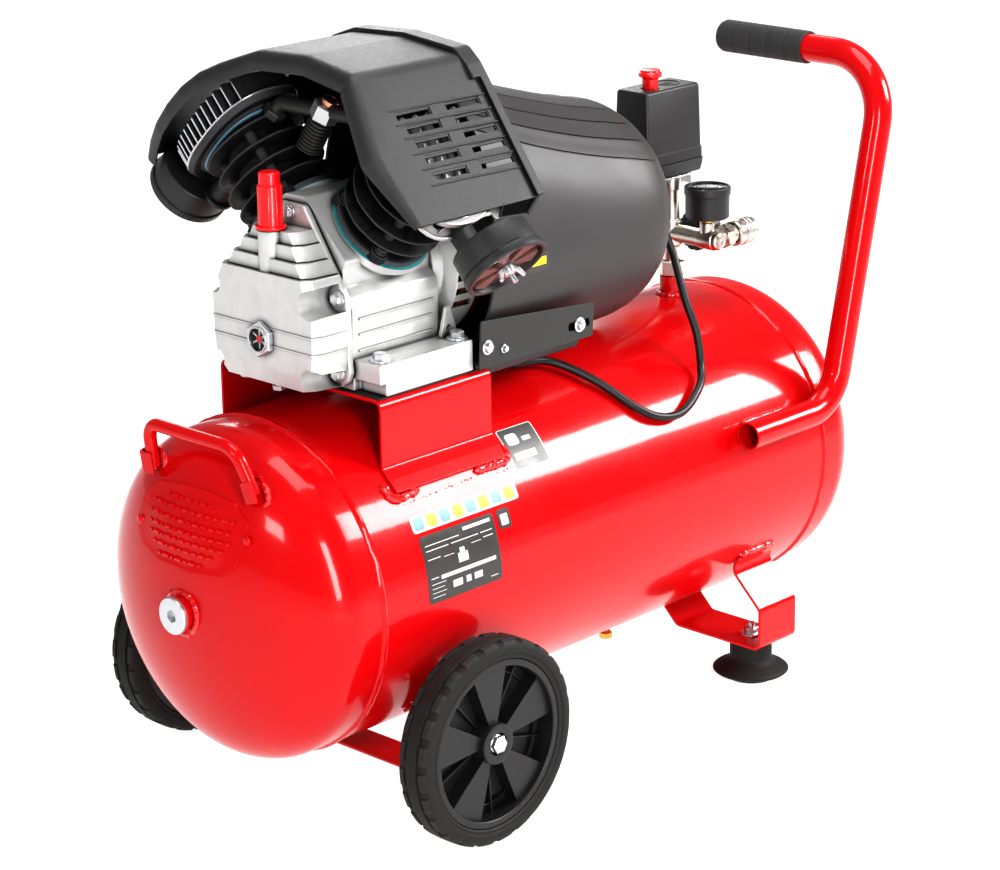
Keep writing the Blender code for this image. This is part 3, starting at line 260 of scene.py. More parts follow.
def make_glass():
    """Clear, slightly smeared glass."""
    glass = bpy.data.materials.new("clear_glass")
    glass.use_nodes = True
    tree = glass.node_tree
    shader = tree.nodes["Principled BSDF"]
    shader.inputs["Base Color"].default_value = (0.95, 0.97, 0.97, 1.0)
    shader.inputs["Transmission Weight"].default_value = 1.0
    shader.inputs["IOR"].default_value = 1.2
    smears = tree.nodes.new("ShaderNodeTexNoise")
    smears.inputs["Scale"].default_value = 120.0
    spread = tree.nodes.new("ShaderNodeMapRange")
    spread.inputs["To Min"].default_value = 0.01
    spread.inputs["To Max"].default_value = 0.1
    tree.links.new(smears.outputs["Fac"], spread.inputs["Value"])
    tree.links.new(spread.outputs["Result"], shader.inputs["Roughness"])
    return glass


# ---------------------------------------------------------------- shaping tools
def along(point, direction):
    """A placement with its local Z along a direction and its local X near world X, or else near world Z."""
    z = Vector(direction).normalized()
    across = Z_AXIS if abs(z.x) > 0.9 else X_AXIS
    x = (across - z * z.dot(across)).normalized()
    turn = Matrix((x, z.cross(x), z)).transposed().to_4x4()
    return Matrix.Translation(Vector(point)) @ turn


def soft(points, radius, steps=3, closed=False):
    """The same outline with each of its corners rounded, as far as the neighbouring edges allow."""
    points = [Vector(p) for p in points]
    count = len(points)
    made = []
    for i, corner in enumerate(points):
        if not closed and i in (0, count - 1):
            made.append(corner)
            continue
        before = points[i - 1] - corner
        after = points[(i + 1) % count] - corner
        if before.length < 1e-7 or after.length < 1e-7 or before.angle(after) > math.radians(176):
            made.append(corner)
            continue
        half = before.angle(after) / 2
        reach = min(radius / math.tan(half), before.length * 0.48, after.length * 0.48)
        start, end = corner + before.normalized() * reach, corner + after.normalized() * reach
        for k in range(steps + 1):
            t = k / steps
            made.append(start * (1 - t) ** 2 + corner * 2 * t * (1 - t) + end * t * t)
    return made


def turned(profile, segments=48, closed=False, angles=None, vary=None, finishes=None):
    """A solid of revolution from (z, radius) points. vary(angle, z, radius) may change a radius."""
    shape = bmesh.new()
    angles = angles or [2 * math.pi * i / segments for i in range(segments)]
    count = len(angles)
    rings = []
    for z, radius in profile:
        if radius < 1e-6:
            rings.append([shape.verts.new((0.0, 0.0, z))])
            continue
        radii = [vary(a, z, radius) if vary else radius for a in angles]
        rings.append([shape.verts.new((r * math.cos(a), r * math.sin(a), z)) for a, r in zip(angles, radii)])
    pairs = list(zip(rings, rings[1:]))
    if closed:
        pairs.append((rings[-1], rings[0]))
    for row, (low, high) in enumerate(pairs):
        if len(low) + len(high) == 2:
            continue
        for i in range(count):
            j = (i + 1) % count
            corners = [low[i % len(low)], low[j % len(low)], high[j % len(high)], high[i % len(high)]]
            face = shape.faces.new(list(dict.fromkeys(corners)))
            if finishes:
                face.material_index = finishes(row)
    if not closed:
        for ring in (rings[0], rings[-1]):
            if len(ring) > 1:
                shape.faces.new(ring)
    return shape


def lathe(points, radius, segments=48, steps=3, closed=False, vary=None):
    """A solid of revolution whose (z, radius) outline has its corners rounded to a radius."""
    return turned(soft(points, radius, steps, closed), segments, closed, vary=vary)


def rod(radius, z0, z1, segments=24):
    """A plain round bar about local Z."""
    return turned([(z0, radius), (z1, radius)], segments)


def prism(outline, low, high, axis="x"):
    """An outline extruded from low to high. Its points are (y, z) for axis x, (x, z) for y, (x, y) for z."""
    shape = bmesh.new()
    order = {"x": (2, 0, 1), "y": (0, 2, 1), "z": (0, 1, 2)}[axis]
    ends = []
    for level in (low, high):
        ring = []
        for first, second in outline:
            values = (first, second, level)
            ring.append(shape.verts.new([values[i] for i in order]))
        ends.append(ring)
    count = len(outline)
    for i in range(count):
        j = (i + 1) % count
        shape.faces.new((ends[0][i], ends[0][j], ends[1][j], ends[1][i]))
    shape.faces.new(ends[0])
    shape.faces.new(ends[1])
    return shape


def box(x0, x1, y0, y1, z0, z1):
    """A block between two values on each axis."""
    return prism([(y0, z0), (y1, z0), (y1, z1), (y0, z1)], x0, x1)


def polygon(sides, radius):
    """The corners of a regular polygon."""
    angles = (2 * math.pi * i / sides for i in range(sides))
    return [(radius * math.cos(a), radius * math.sin(a)) for a in angles]


def mirrored(points):
    """An outline's left half, from bottom to top, completed with its mirror image in the first value."""
    return points + [(-y, z) for y, z in reversed(points)]


def strip(points, thickness):
    """The outline of a strip of this thickness that follows the points."""
    path = [Vector(p) for p in points]
    left, right = [], []
    for i, point in enumerate(path):
        before = (point - path[i - 1]).normalized() if i else (path[1] - point).normalized()
        after = (path[i + 1] - point).normalized() if i + 1 < len(path) else before
        middle = (before + after).normalized()
        normal = Vector((-middle.y, middle.x))
        reach = thickness / 2 / max(normal.dot(Vector((-after.y, after.x))), 0.3)
        left.append(point + normal * reach)
        right.append(point - normal * reach)
    return left + right[::-1]


def loft(rings, closed=False):
    """A skin through rings of points, with a face on each end unless the rings close on themselves."""
    shape = bmesh.new()
    loops = [[shape.verts.new(p) for p in ring] for ring in rings]
    count = len(loops[0])
    pairs = list(zip(loops, loops[1:])) + ([(loops[-1], loops[0])] if closed else [])
    for low, high in pairs:
        for i in range(count):
            j = (i + 1) % count
            shape.faces.new((low[i], low[j], high[j], high[i]))
    if not closed:
        shape.faces.new(loops[0])
        shape.faces.new(loops[-1])
    return shape


def filleted(corners, radii, steps=10):
    """A path through the corners, each inner corner rounded to its radius with an arc of so many steps."""
    path = [Vector(corners[0])]
    for before, corner, after, radius in zip(corners, corners[1:], corners[2:], radii):
        corner = Vector(corner)
        inward = (Vector(before) - corner).normalized()
        outward = (Vector(after) - corner).normalized()
        half = inward.angle(outward) / 2
        reach = radius / math.tan(half)
        centre = corner + (inward + outward).normalized() * (radius / math.sin(half))
        start = corner + inward * reach - centre
        end = corner + outward * reach - centre
        sweep = start.angle(end)
        for i in range(steps + 1):
            t = i / steps
            path.append(centre
                + (start * math.sin((1 - t) * sweep) + end * math.sin(t * sweep)) / math.sin(sweep))
    path.append(Vector(corners[-1]))
    return path


def smooth_route(points, spacing):
    """Points at an even spacing along a Catmull-Rom curve through the route's own points."""
    knots = [Vector(p) for p in points]
    knots = [knots[0] * 2 - knots[1]] + knots + [knots[-1] * 2 - knots[-2]]
    fine = []
    for a, b, c, d in zip(knots, knots[1:], knots[2:], knots[3:]):
        for i in range(20):
            t = i / 20
            fine.append(0.5 * (2 * b + (c - a) * t + (2 * a - 5 * b + 4 * c - d) * t**2
                + (3 * b - a - 3 * c + d) * t**3))
    fine.append(knots[-2])
    lengths = [0.0]
    for a, b in zip(fine, fine[1:]):
        lengths.append(lengths[-1] + (b - a).length)
    count = max(2, round(lengths[-1] / spacing))
    route, k = [], 0
    for i in range(count + 1):
        wanted = lengths[-1] * i / count
        while k + 2 < len(lengths) and lengths[k + 1] < wanted:
            k += 1
        t = (wanted - lengths[k]) / (lengths[k + 1] - lengths[k])
        route.append(fine[k].lerp(fine[k + 1], t))
    return route


def hexagon(radius, levels):
    """A six-sided block through (z, share of its radius) levels."""
    return loft([[(x * k, y * k, z) for x, y in polygon(6, radius)] for z, k in levels])


def swept(path, radius, sides=20, inner=None):
    """A round bar along a path. Its radius may be a function of the point's number; inner makes it a tube."""
    path = [Vector(p) for p in path]
    tangent = (path[1] - path[0]).normalized()
    side = tangent.orthogonal().normalized()
    outside, inside = [], []
    for i, point in enumerate(path):
        before = (point - path[i - 1]).normalized() if i else tangent
        after = (path[i + 1] - point).normalized() if i + 1 < len(path) else before
        tangent = (before + after).normalized()
        side = (side - tangent * side.dot(tangent)).normalized()
        up = tangent.cross(side)
        for r, rings in ((radius(i) if callable(radius) else radius, outside), (inner, inside)):
            if r:
                angles = (2 * math.pi * k / sides for k in range(sides))
                rings.append([point + (side * math.cos(a) + up * math.sin(a)) * r for a in angles])
    return loft(outside + inside[::-1], closed=True) if inner else loft(outside)


def as_mesh(shape, name):
    """Turns a shape's faces outwards and makes it a mesh of this name. The shape is used up."""
    bmesh.ops.recalc_face_normals(shape, faces=shape.faces)
    if shape.calc_volume(signed=True) < 0:
        bmesh.ops.reverse_faces(shape, faces=shape.faces)
    mesh = bpy.data.meshes.new(name)
    shape.to_mesh(mesh)
    shape.free()
    return mesh


def join(shapes):
    """Several shapes as one."""
    whole = bmesh.new()
    for shape in shapes:
        part = as_mesh(shape, "part")
        whole.from_mesh(part)
        bpy.data.meshes.remove(part)
    return whole


def moved(shape, place):
    """The same shape, put in its place."""
    shape.transform(place)
    return shape


def piece(name, shape, finishes, body="frame", nodes=(), bevel=0.0, steps=2, place=IDENTITY, sharp=35.0):
    """Makes a visible object from a shape, which rides on a body and stands for CAD nodes."""
    mesh = as_mesh(shape, name)
    mesh.shade_smooth()
    mesh.set_sharp_from_angle(angle=math.radians(sharp))
    for one in finishes if isinstance(finishes, (list, tuple)) else [finishes]:
        mesh.materials.append(one)
    made = bpy.data.objects.new(name, mesh)
    made.matrix_world = place
    show(made)
    if bevel:
        edge = made.modifiers.new("edges", "BEVEL")
        edge.width = bevel
        edge.segments = steps
        edge.limit_method = "ANGLE"
        edge.angle_limit = math.radians(30)
        edge.use_clamp_overlap = True
        edge.harden_normals = True
    bpy.context.view_layer.update()
    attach(made, body)
    if nodes:
        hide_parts(*nodes)
    return made


def carve(target, shape, place=IDENTITY, operation="DIFFERENCE"):
    """Cuts a shape out of a piece, or joins it on, at once and for good, before its edges are rounded."""
    mesh = as_mesh(shape, "tool")
    tool = bpy.data.objects.new("tool", mesh)
    tool.matrix_world = place
    show(tool)
    kept = list(target.modifiers)
    for modifier in kept:
        modifier.show_viewport = False
    change = target.modifiers.new("cut", "BOOLEAN")
    change.operation = operation
    change.solver = "EXACT"
    change.object = tool
    bpy.context.view_layer.update()
    seen = target.evaluated_get(bpy.context.evaluated_depsgraph_get())
    result = bpy.data.meshes.new_from_object(seen)
    target.modifiers.remove(change)
    old = target.data
    target.data = result
    bpy.data.meshes.remove(old)
    bpy.data.objects.remove(tool)
    bpy.data.meshes.remove(mesh)
    result.shade_smooth()
    result.set_sharp_from_angle(angle=math.radians(35))
    for modifier in kept:
        modifier.show_viewport = True


def hex_bolt(radius, height, flange=1.35, washer=0.0016):
    """A flanged hexagon head on local Z, standing on z = 0, with its chamfered corners."""
    skirt = lathe([(0.0, 0.0), (0.0, radius * flange), (washer, radius * flange * 0.96),
        (washer * 1.4, radius * 0.9), (washer * 1.4, 0.0)], 0.0003, 32)
    head = hexagon(radius, [(washer, 1.0), (height - radius * 0.12, 1.0), (height, 0.86)])
    dish = turned([(height - 0.0002, 0.0), (height - 0.0002, radius * 0.62), (height + 0.0002, radius * 0.7),
        (height + 0.0002, 0.0)], 24)
    return join([skirt, head, dish])


# ---------------------------------------------------------------- motor cable
def build_cable(mats):
    """The lead from the motor to the pressure switch, in a loop that lies on the tank's shoulder."""
    route = [(-0.045, -0.048, 0.3722), (-0.043, -0.049, 0.3665), (-0.03, -0.052, 0.36), (0.008, -0.06, 0.356),
        (0.036, -0.09, 0.338), (0.064, -0.119, 0.31), (0.087, -0.129, 0.2985), (0.115, -0.131, 0.2985),
        (0.148, -0.122, 0.313), (0.164, -0.11, 0.326), (0.169, -0.1, 0.356), (0.166, -0.088, 0.388),
        (0.172, -0.068, 0.426), (0.188, -0.038, 0.452), (0.206, -0.012, 0.464),
        (0.215, 0.0, 0.471), (0.2155, 0.001, 0.4762)]
    path = smooth_route(route, 0.004)
    curve = bpy.data.curves.new("motor_lead", "CURVE")
    curve.dimensions = "3D"
    curve.bevel_depth = 0.0038
    curve.bevel_resolution = 5
    curve.use_fill_caps = True
    spline = curve.splines.new("POLY")
    spline.points.add(len(path) - 1)
    for point, place in zip(spline.points, path):
        point.co = (*place, 1.0)
    curve.materials.append(mats["cable"])
    lead = bpy.data.objects.new("motor_lead", curve)
    show(lead)
    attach(lead, "frame")
    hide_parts("motor_cable")
    gland = lathe([(0.0, 0.004), (0.0, 0.0085), (0.005, 0.0085), (0.0062, 0.0064), (0.013, 0.0056),
        (0.013, 0.004)], 0.0006, 32, closed=True)
    piece("switch_lead_gland", gland, mats["plastic"],
        place=along((0.2155, 0.001, 0.4795), (0.05, -0.05, -1)))


# ---------------------------------------------------------------- tank
def tank_point(x, angle, reach=TANK_R):
    """A point on the tank's shell: angle 0 is its top and grows towards -Y."""
    a = math.radians(angle)
    return Vector((x, -reach * math.sin(a), TANK_Z + reach * math.cos(a)))


def head_point(y, z, lift=0.0):
    """The point on the front head above or below the boss, seen along X."""
    depth = HEAD_DEPTH + lift
    spread = ((y / (TANK_R + lift)) ** 2 + ((z - TANK_Z) / (TANK_R + lift)) ** 2)
    return Vector((TANK_X - HEAD_START - depth * math.sqrt(max(1.0 - spread, 0.0)), y, z))


def bead(path, radius, seed, wobble=0.35):
    """A run of weld: a bar of uneven width that follows a path and ripples across it."""
    fine = smooth_route(path, 0.0016)

    def width(i):
        ripple = 0.12 * math.sin(i * 1.9 + seed)
        rough = noise.noise(Vector((i * 0.35, seed * 7.3, 0.0)))
        ends = min(1.0, 0.45 + 0.2 * min(i, len(fine) - 1 - i))
        return radius * (1.0 + ripple + wobble * rough) * ends

    return swept(fine, width, 10)


def ring_path(centre, axis, radius, turns=1.0, squash=1.0):
    """Points round a circle, or part of one, which may be squashed one way."""
    place = along(centre, axis)
    steps = 20
    points = []
    for i in range(steps + 1):
        a = 2 * math.pi * turns * i / steps
        points.append(place @ Vector((radius * math.cos(a), radius * squash * math.sin(a), 0.0)))
    return points


def build_tank(mats):
    """The painted vessel: a rolled shell with two dished heads, welded round their seams."""
    half, shoulder = BARREL_HALF, HEAD_START
    head_r = TANK_R - 0.0006
    steps = 30
    front = [(-shoulder - 0.0735, 0.0), (-shoulder - 0.0735, 0.02), (-shoulder - 0.072, 0.0212)]
    first = math.radians(8.2)
    for i in range(steps + 1):
        a = first + (math.pi / 2 - first) * i / steps
        front.append((-shoulder - HEAD_DEPTH * math.cos(a), head_r * math.sin(a)))
    seam = [(-half - 0.0042, head_r), (-half - 0.003, head_r + 0.0012), (-half - 0.0006, head_r + 0.0023),
        (-half + 0.0016, head_r + 0.0018), (-half + 0.003, TANK_R), (-half + 0.01, TANK_R)]
    back = [(-z, r) for z, r in reversed(front + seam)]
    back = [p for p in back if p[0] < shoulder + 0.0715]
    wall = [(z, TANK_R) for z in (-0.2, -0.1, 0.0, 0.1, 0.2)]
    profile = front + seam + wall + back + [(shoulder + HEAD_DEPTH, 0.0)]

    def uneven(angle, z, radius):
        on_seam = math.exp(-(((abs(z) - half) / 0.003) ** 2))
        lump = noise.noise(Vector((math.cos(angle) * 30, math.sin(angle) * 30, z * 9)))
        return radius + 0.0009 * on_seam * lump

    shape = turned(profile, 160, vary=uneven)
    piece("tank_vessel", shape, mats["red_paint"], nodes=["tank"], place=along((TANK_X, 0.0, TANK_Z), X_AXIS))


def build_front_plug(mats):
    """The bright hexagon-socket plug, with the painted fitting that it screws into."""
    face = -0.397
    disc = soft([(0.0, 0.0), (0.0, 0.016), (0.0012, 0.0165), (0.0044, 0.0165),
        (0.005, 0.015), (0.005, 0.0)], 0.0005)
    plug = piece("port_plug", turned(disc, 64), mats["zinc"], nodes=["front_plug"],
        place=along((face, 0.0, TANK_Z), X_AXIS))
    carve(plug, prism(polygon(6, 0.006), -0.001, 0.004, "z"), plug.matrix_world)
    fitting = soft([(0.0052, 0.0), (0.0052, 0.0148), (0.0085, 0.0152), (0.01, 0.014), (0.0135, 0.0158),
        (0.017, 0.0175), (0.02, 0.0)], 0.0006)

    def rough(angle, z, radius):
        lump = noise.noise(Vector((math.cos(angle) * 2.2, math.sin(angle) * 2.2, z * 220)))
        return radius * (1.0 + 0.05 * lump)

    piece("port_fitting", turned(fitting, 64, vary=rough), mats["red_paint"],
        place=along((face, 0.0, TANK_Z), X_AXIS))
    ring = bead(ring_path((face + 0.013, 0.0, TANK_Z), X_AXIS, 0.0185), 0.0032, 3.0, 0.8)
    piece("port_weld", ring, mats["red_weld"])


def build_nameplate(mats):
    """A blank pressed plate on the front head: a welded tin blank with plain raised bars, and two rivets."""
    corners = [(0.05, 0.3115), (0.0125, 0.3165), (-0.019, 0.3165), (-0.046, 0.3125), (-0.0615, 0.301),
        (-0.0665, 0.286), (-0.061, 0.2625), (-0.0465, 0.251), (-0.0095, 0.248), (0.0345, 0.249),
        (0.0605, 0.2575), (0.0725, 0.274), (0.069, 0.2945)]
    rim = soft(corners, 0.012, 3, closed=True)
    middle = Vector((0.0, 0.282))
    top = [head_point(p.x, p.y, 0.0013) for p in rim]
    low = [head_point(p.x, p.y, -0.001) for p in rim]
    shape = bmesh.new()
    rings = [[shape.verts.new(p) for p in low], [shape.verts.new(p) for p in top]]
    for share in (0.97, 0.92, 0.7, 0.45, 0.2):
        inner = [middle.lerp(p, share) for p in rim]
        lift = 0.0013 if share > 0.95 else 0.0007
        rings.append([shape.verts.new(head_point(p.x, p.y, lift)) for p in inner])
    count = len(rim)
    for a, b in zip(rings, rings[1:]):
        for i in range(count):
            j = (i + 1) % count
            shape.faces.new((a[i], a[j], b[j], b[i]))
    shape.faces.new(rings[-1])
    shape.faces.new(rings[0])
    piece("pressed_plate", shape, mats["red_paint"])

    bars = []
    rows = [(0.306, 0.03, -0.034), (0.2975, 0.049, -0.054), (0.2885, 0.052, -0.055), (0.28, 0.05, -0.054),
        (0.2725, 0.048, -0.046), (0.265, 0.04, -0.038), (0.2565, 0.032, -0.03)]
    for row, (z, left, right) in enumerate(rows):
        y = left
        k = 0
        while y > right + 0.004:
            long = 0.0022 + 0.0048 * abs(math.sin(row * 3.1 + k * 1.7))
            end = max(y - long, right)
            path = [head_point(y + (end - y) * t / 4, z, 0.0006) for t in range(5)]
            bars.append(swept(path, 0.0017 + 0.0004 * (k % 2), 8))
            y = end - 0.0036
            k += 1
    piece("pressed_bars", join(bars), mats["red_paint"])
    rivets = []
    for y, z in ((0.0655, 0.275), (-0.066, 0.2855)):
        at = head_point(y, z, 0.0008)
        out = (at - head_point(y, z, -0.01)).normalized()
        dome = soft([(0.0, 0.0), (0.0, 0.0048), (0.0014, 0.0042), (0.0024, 0.0022), (0.0026, 0.0)], 0.001)
        rivets.append(moved(turned(dome, 24), along(at, out)))
    piece("plate_rivets", join(rivets), mats["red_paint"])


def patch(x0, x1, z0, z1, lift, thick=0.00025, corner=0.0):
    """A thin film on the shell's near side between two stations and two heights, with rounded corners."""
    a0, a1 = (math.degrees(math.acos((z - TANK_Z) / TANK_R)) for z in (z0, z1))
    height = abs(math.radians(a1 - a0)) * TANK_R
    ends = [corner * (1 - math.cos(math.radians(15 * k))) / height for k in range(7)] if corner else [0.0]
    shares = ends + [0.25, 0.5, 0.75] + [1 - share for share in reversed(ends)]
    steps = len(shares) - 1
    rings = []
    for reach in (TANK_R + lift, TANK_R + lift + thick):
        ring = []
        for share in shares:
            left = max(corner - min(share, 1 - share) * height, 0.0)
            inset = corner - math.sqrt(max(corner**2 - left**2, 0.0))
            a = a0 + (a1 - a0) * share
            ring.append((tank_point(x0 + inset, a, reach), tank_point(x1 - inset, a, reach)))
        rings.append(ring)
    shape = bmesh.new()
    inner = [[shape.verts.new(p) for p in pair] for pair in rings[0]]
    outer = [[shape.verts.new(p) for p in pair] for pair in rings[1]]
    for i in range(steps):
        shape.faces.new((outer[i][0], outer[i][1], outer[i + 1][1], outer[i + 1][0]))
        shape.faces.new((inner[i][0], inner[i + 1][0], inner[i + 1][1], inner[i][1]))
        for side in (0, 1):
            shape.faces.new((inner[i][side], inner[i + 1][side], outer[i + 1][side], outer[i][side]))
    for i in (0, steps):
        shape.faces.new((inner[i][0], inner[i][1], outer[i][1], outer[i][0]))
    return shape


def build_labels(mats):
    """Blank printed labels on the tank's near side: plain fields and bars, with no words or marks."""
    piece("rating_label", patch(-0.239, -0.15, 0.213, 0.27, 0.0001, corner=0.0035), mats["label_grey"])
    fields = [
        # stations and heights of the rating label's bars and fields
        (-0.188, -0.1545, 0.264, 0.2668), (-0.235, -0.194, 0.2614, 0.2622), (-0.235, -0.208, 0.2572, 0.258),
        (-0.205, -0.172, 0.2572, 0.258), (-0.169, -0.155, 0.2572, 0.258), (-0.235, -0.22, 0.25, 0.2508),
        (-0.216, -0.204, 0.249, 0.2496), (-0.182, -0.17, 0.252, 0.2526), (-0.167, -0.155, 0.253, 0.2538),
        (-0.2, -0.188, 0.24, 0.248), (-0.197, -0.191, 0.248, 0.252), (-0.235, -0.226, 0.234, 0.2348),
        (-0.223, -0.156, 0.2318, 0.2352), (-0.21, -0.1985, 0.221, 0.2272), (-0.194, -0.188, 0.2215, 0.2272),
        (-0.184, -0.174, 0.2215, 0.2272), (-0.164, -0.155, 0.218, 0.2188),
    ]
    fields += [(-0.235, -0.218 - 0.002 * (i % 2), 0.229 - 0.0038 * i, 0.2296 - 0.0038 * i) for i in range(4)]
    bars = [patch(*field, 0.0004, 0.0001) for field in fields]
    piece("rating_label_bars", join(bars), mats["label_pale"])
    piece("pale_label", patch(-0.242, -0.113, 0.2735, 0.2872, 0.0001, corner=0.003), mats["label_pale"])
    for name, first, colour in (("pale_label_fields", 0, "label_blue"), ("pale_label_tabs", 1, "yellow")):
        blocks = [patch(-0.2395 + 0.0158 * i, -0.228 + 0.0158 * i, 0.2752, 0.2852, 0.0004, 0.0001, 0.003)
            for i in range(first, 8, 2)]
        piece(name, join(blocks), mats[colour])
    piece("small_label", patch(-0.145, -0.13, 0.254, 0.27, 0.0001, corner=0.002), mats["label_grey"])
    piece("small_label_field", patch(-0.142, -0.133, 0.2568, 0.266, 0.0004, 0.0001,
        0.001), mats["label_pale"])
    piece("top_label", patch(-0.104, -0.06, 0.2925, 0.3232, 0.0001, corner=0.0025), mats["label_pale"])
    piece("top_label_field", patch(-0.1028, -0.0612, 0.2935, 0.3226, 0.0004, 0.0001,
        0.0018), mats["label_grey"])
    marks = [patch(-0.0985, -0.0845, 0.311, 0.319, 0.0006, 0.0001, 0.003)]
    marks += [patch(*field, 0.0006, 0.0001) for field in ((-0.08, -0.07, 0.312, 0.315),
        (-0.0985, -0.072, 0.3, 0.305))]
    piece("top_label_bars", join(marks), mats["label_pale"])


# ---------------------------------------------------------------- brackets, feet and handles
def bent_strip(points, radii, low, high):
    """A bar of bent strip steel that follows (y, z) points, from one station to another."""
    return prism(strip(filleted(points, radii, 6), STRIP), low, high)


def under_tank(angle, reach=STRAP_REACH):
    """The (y, z) of a point below the tank, so many degrees from its lowest line towards -Y."""
    a = math.radians(angle)
    return (-reach * math.sin(a), TANK_Z - reach * math.cos(a))


def build_saddle(mats):
    """The bridge that the pump stands on: a plate bent down to two toes that lie on the tank."""
    foot = math.asin((SADDLE_Y - STRIP / 2) / STRAP_REACH)
    edge = math.asin((SADDLE_Y + 0.016) / STRAP_REACH)
    half = [(-STRAP_REACH * math.sin(a), TANK_Z + STRAP_REACH * math.cos(a))
        for a in (edge, (edge + foot) / 2, foot)]
    half.append((-SADDLE_Y + STRIP / 2, SADDLE_Z - STRIP / 2))
    shape = bent_strip(mirrored(half), [0.02, 0.006, 0.007, 0.007, 0.006, 0.02], -0.2439, -0.1098)
    piece("pump_seat", shape, mats["red_paint"], nodes=["saddle_bracket"], bevel=0.0007)
    pad = box(-0.242, -0.112, -0.0975, 0.0975, 0.3836, 0.3848)
    piece("pump_seat_gasket", pad, mats["rubber"], bevel=0.0003)


def build_brackets(mats):
    """The strap that carries the wheels' axles, and the two that carry the feet."""
    half = [under_tank(44), (-0.146, 0.126), (-0.16, 0.116), (-0.16, 0.047)]
    shape = bent_strip(mirrored(half), [0.006, 0.008, 0.01, 0.01, 0.008, 0.006], -0.23, -0.194)
    piece("axle_strap", shape, mats["red_paint"], nodes=["axle_bracket"], bevel=0.0006)
    path = [under_tank(58), under_tank(52), (-0.155, 0.082), (-0.155, STRAP_Z), (-0.052, STRAP_Z),
        under_tank(12), under_tank(6)]
    radii = [0.012, 0.008, 0.007, 0.007, 0.012]
    for name, side in (("near", 1), ("far", -1)):
        line = [(side * y, z) for y, z in path]
        shape = bent_strip(line, radii, 0.2, 0.2544)
        strap = piece(name + "_foot_strap", shape, mats["red_paint"],
            nodes=[name + "_foot_bracket"], bevel=0.0006)
        carve(strap, rod(0.0045, 0.03, 0.05), shift(FOOT_X, -side * FOOT_Y, 0.0))


def build_feet(mats):
    """Rubber feet with a flared sole, held by a bolt whose flanged nut sits on the bracket."""
    top = STRAP_Z - STRIP / 2 - 0.0003
    sole = soft([(0.0, 0.0), (0.0, 0.0235), (0.0048, 0.0252), (0.0062, 0.035), (0.0078, 0.0369),
        (0.0092, 0.0369), (0.0112, 0.0345), (0.0165, 0.0245), (0.0195, 0.0215), (0.0215, 0.0205),
        (top - 0.0025, 0.0205), (top, 0.019), (top, 0.0)], 0.0009)
    for name, side in (("near", -1), ("far", 1)):
        place = shift(FOOT_X, side * FOOT_Y, 0.0)
        piece(name + "_foot_sole", turned(sole, 64), mats["rubber"], nodes=[name + "_foot"], place=place)
        above = shift(FOOT_X, side * FOOT_Y, 0.0431)
        nut = join([hex_bolt(0.0072, 0.0078, 1.45), rod(0.0036, 0.0, 0.012)])
        piece(name + "_foot_nut", nut, mats["zinc"], place=above, bevel=0.0003)


def build_handles(mats):
    """The tall tube handle with its ribbed grip, and the small lifting bar at the other end."""
    corners = [(0.178, -0.156, 0.2635), (0.305, -0.156, 0.2635), (HANDLE_X, -0.156, HANDLE_Z),
        (HANDLE_X, 0.038, HANDLE_Z)]
    path = filleted(corners, [0.045, 0.062], 16)
    tube = piece("push_handle", swept(path, 0.0135, 40, 0.0117), mats["red_paint"],
        nodes=["main_handle"], bevel=0.0004)
    tube.data.set_sharp_from_angle(angle=math.radians(50))
    start, end = -0.062, 0.044
    outer = [(start, 0.014), (start, 0.0158)]
    for i in range(1, 5):
        y = start + (end - start) * i / 5
        outer += [(y - 0.0016, 0.0159), (y - 0.0009, 0.0148), (y + 0.0009, 0.0148), (y + 0.0016, 0.0159)]
    outer += [(end - 0.0045, 0.0159), (end - 0.0008, 0.0142), (end, 0.0105), (end, 0.0)]
    profile = soft(outer, 0.0011, 3) + [Vector((end - 0.0035, 0.0)), Vector((end - 0.0035, 0.014))]
    piece("rubber_grip", turned(profile, 56, closed=True), mats["grip"], nodes=["handle_grip"],
        place=along((HANDLE_X, 0.0, HANDLE_Z), Y_AXIS))

    lift = [(-0.3585, 0.06, 0.3215), (-0.3625, 0.06, 0.361), (-0.3625, -0.05, 0.361),
        (-0.3567, -0.066, 0.3228)]
    bar = swept(filleted(lift, [0.014, 0.022], 12), 0.0058, 28)
    piece("lift_handle", bar, mats["red_paint"], nodes=["carry_handle"])
    # Each end is pressed flat and gripped by a folded tab before it is welded to the head.
    for name, foot, up in (("near", Vector((-0.355, -0.0668, 0.3215)), Vector((-0.1, 0.3, 1.0))),
            ("far", Vector((-0.3575, 0.0602, 0.3215)), Vector((-0.15, 0.0, 1.0)))):
        tab = prism(strip(soft([(-0.0062, -0.006), (-0.0085, 0.007), (0.0, 0.009), (0.0085, 0.007),
            (0.0062, -0.006)], 0.004), 0.0022), -0.0045, 0.015, "z")
        piece(f"lift_handle_{name}_tab", tab, mats["red_paint"], place=along(foot, up), bevel=0.0006)


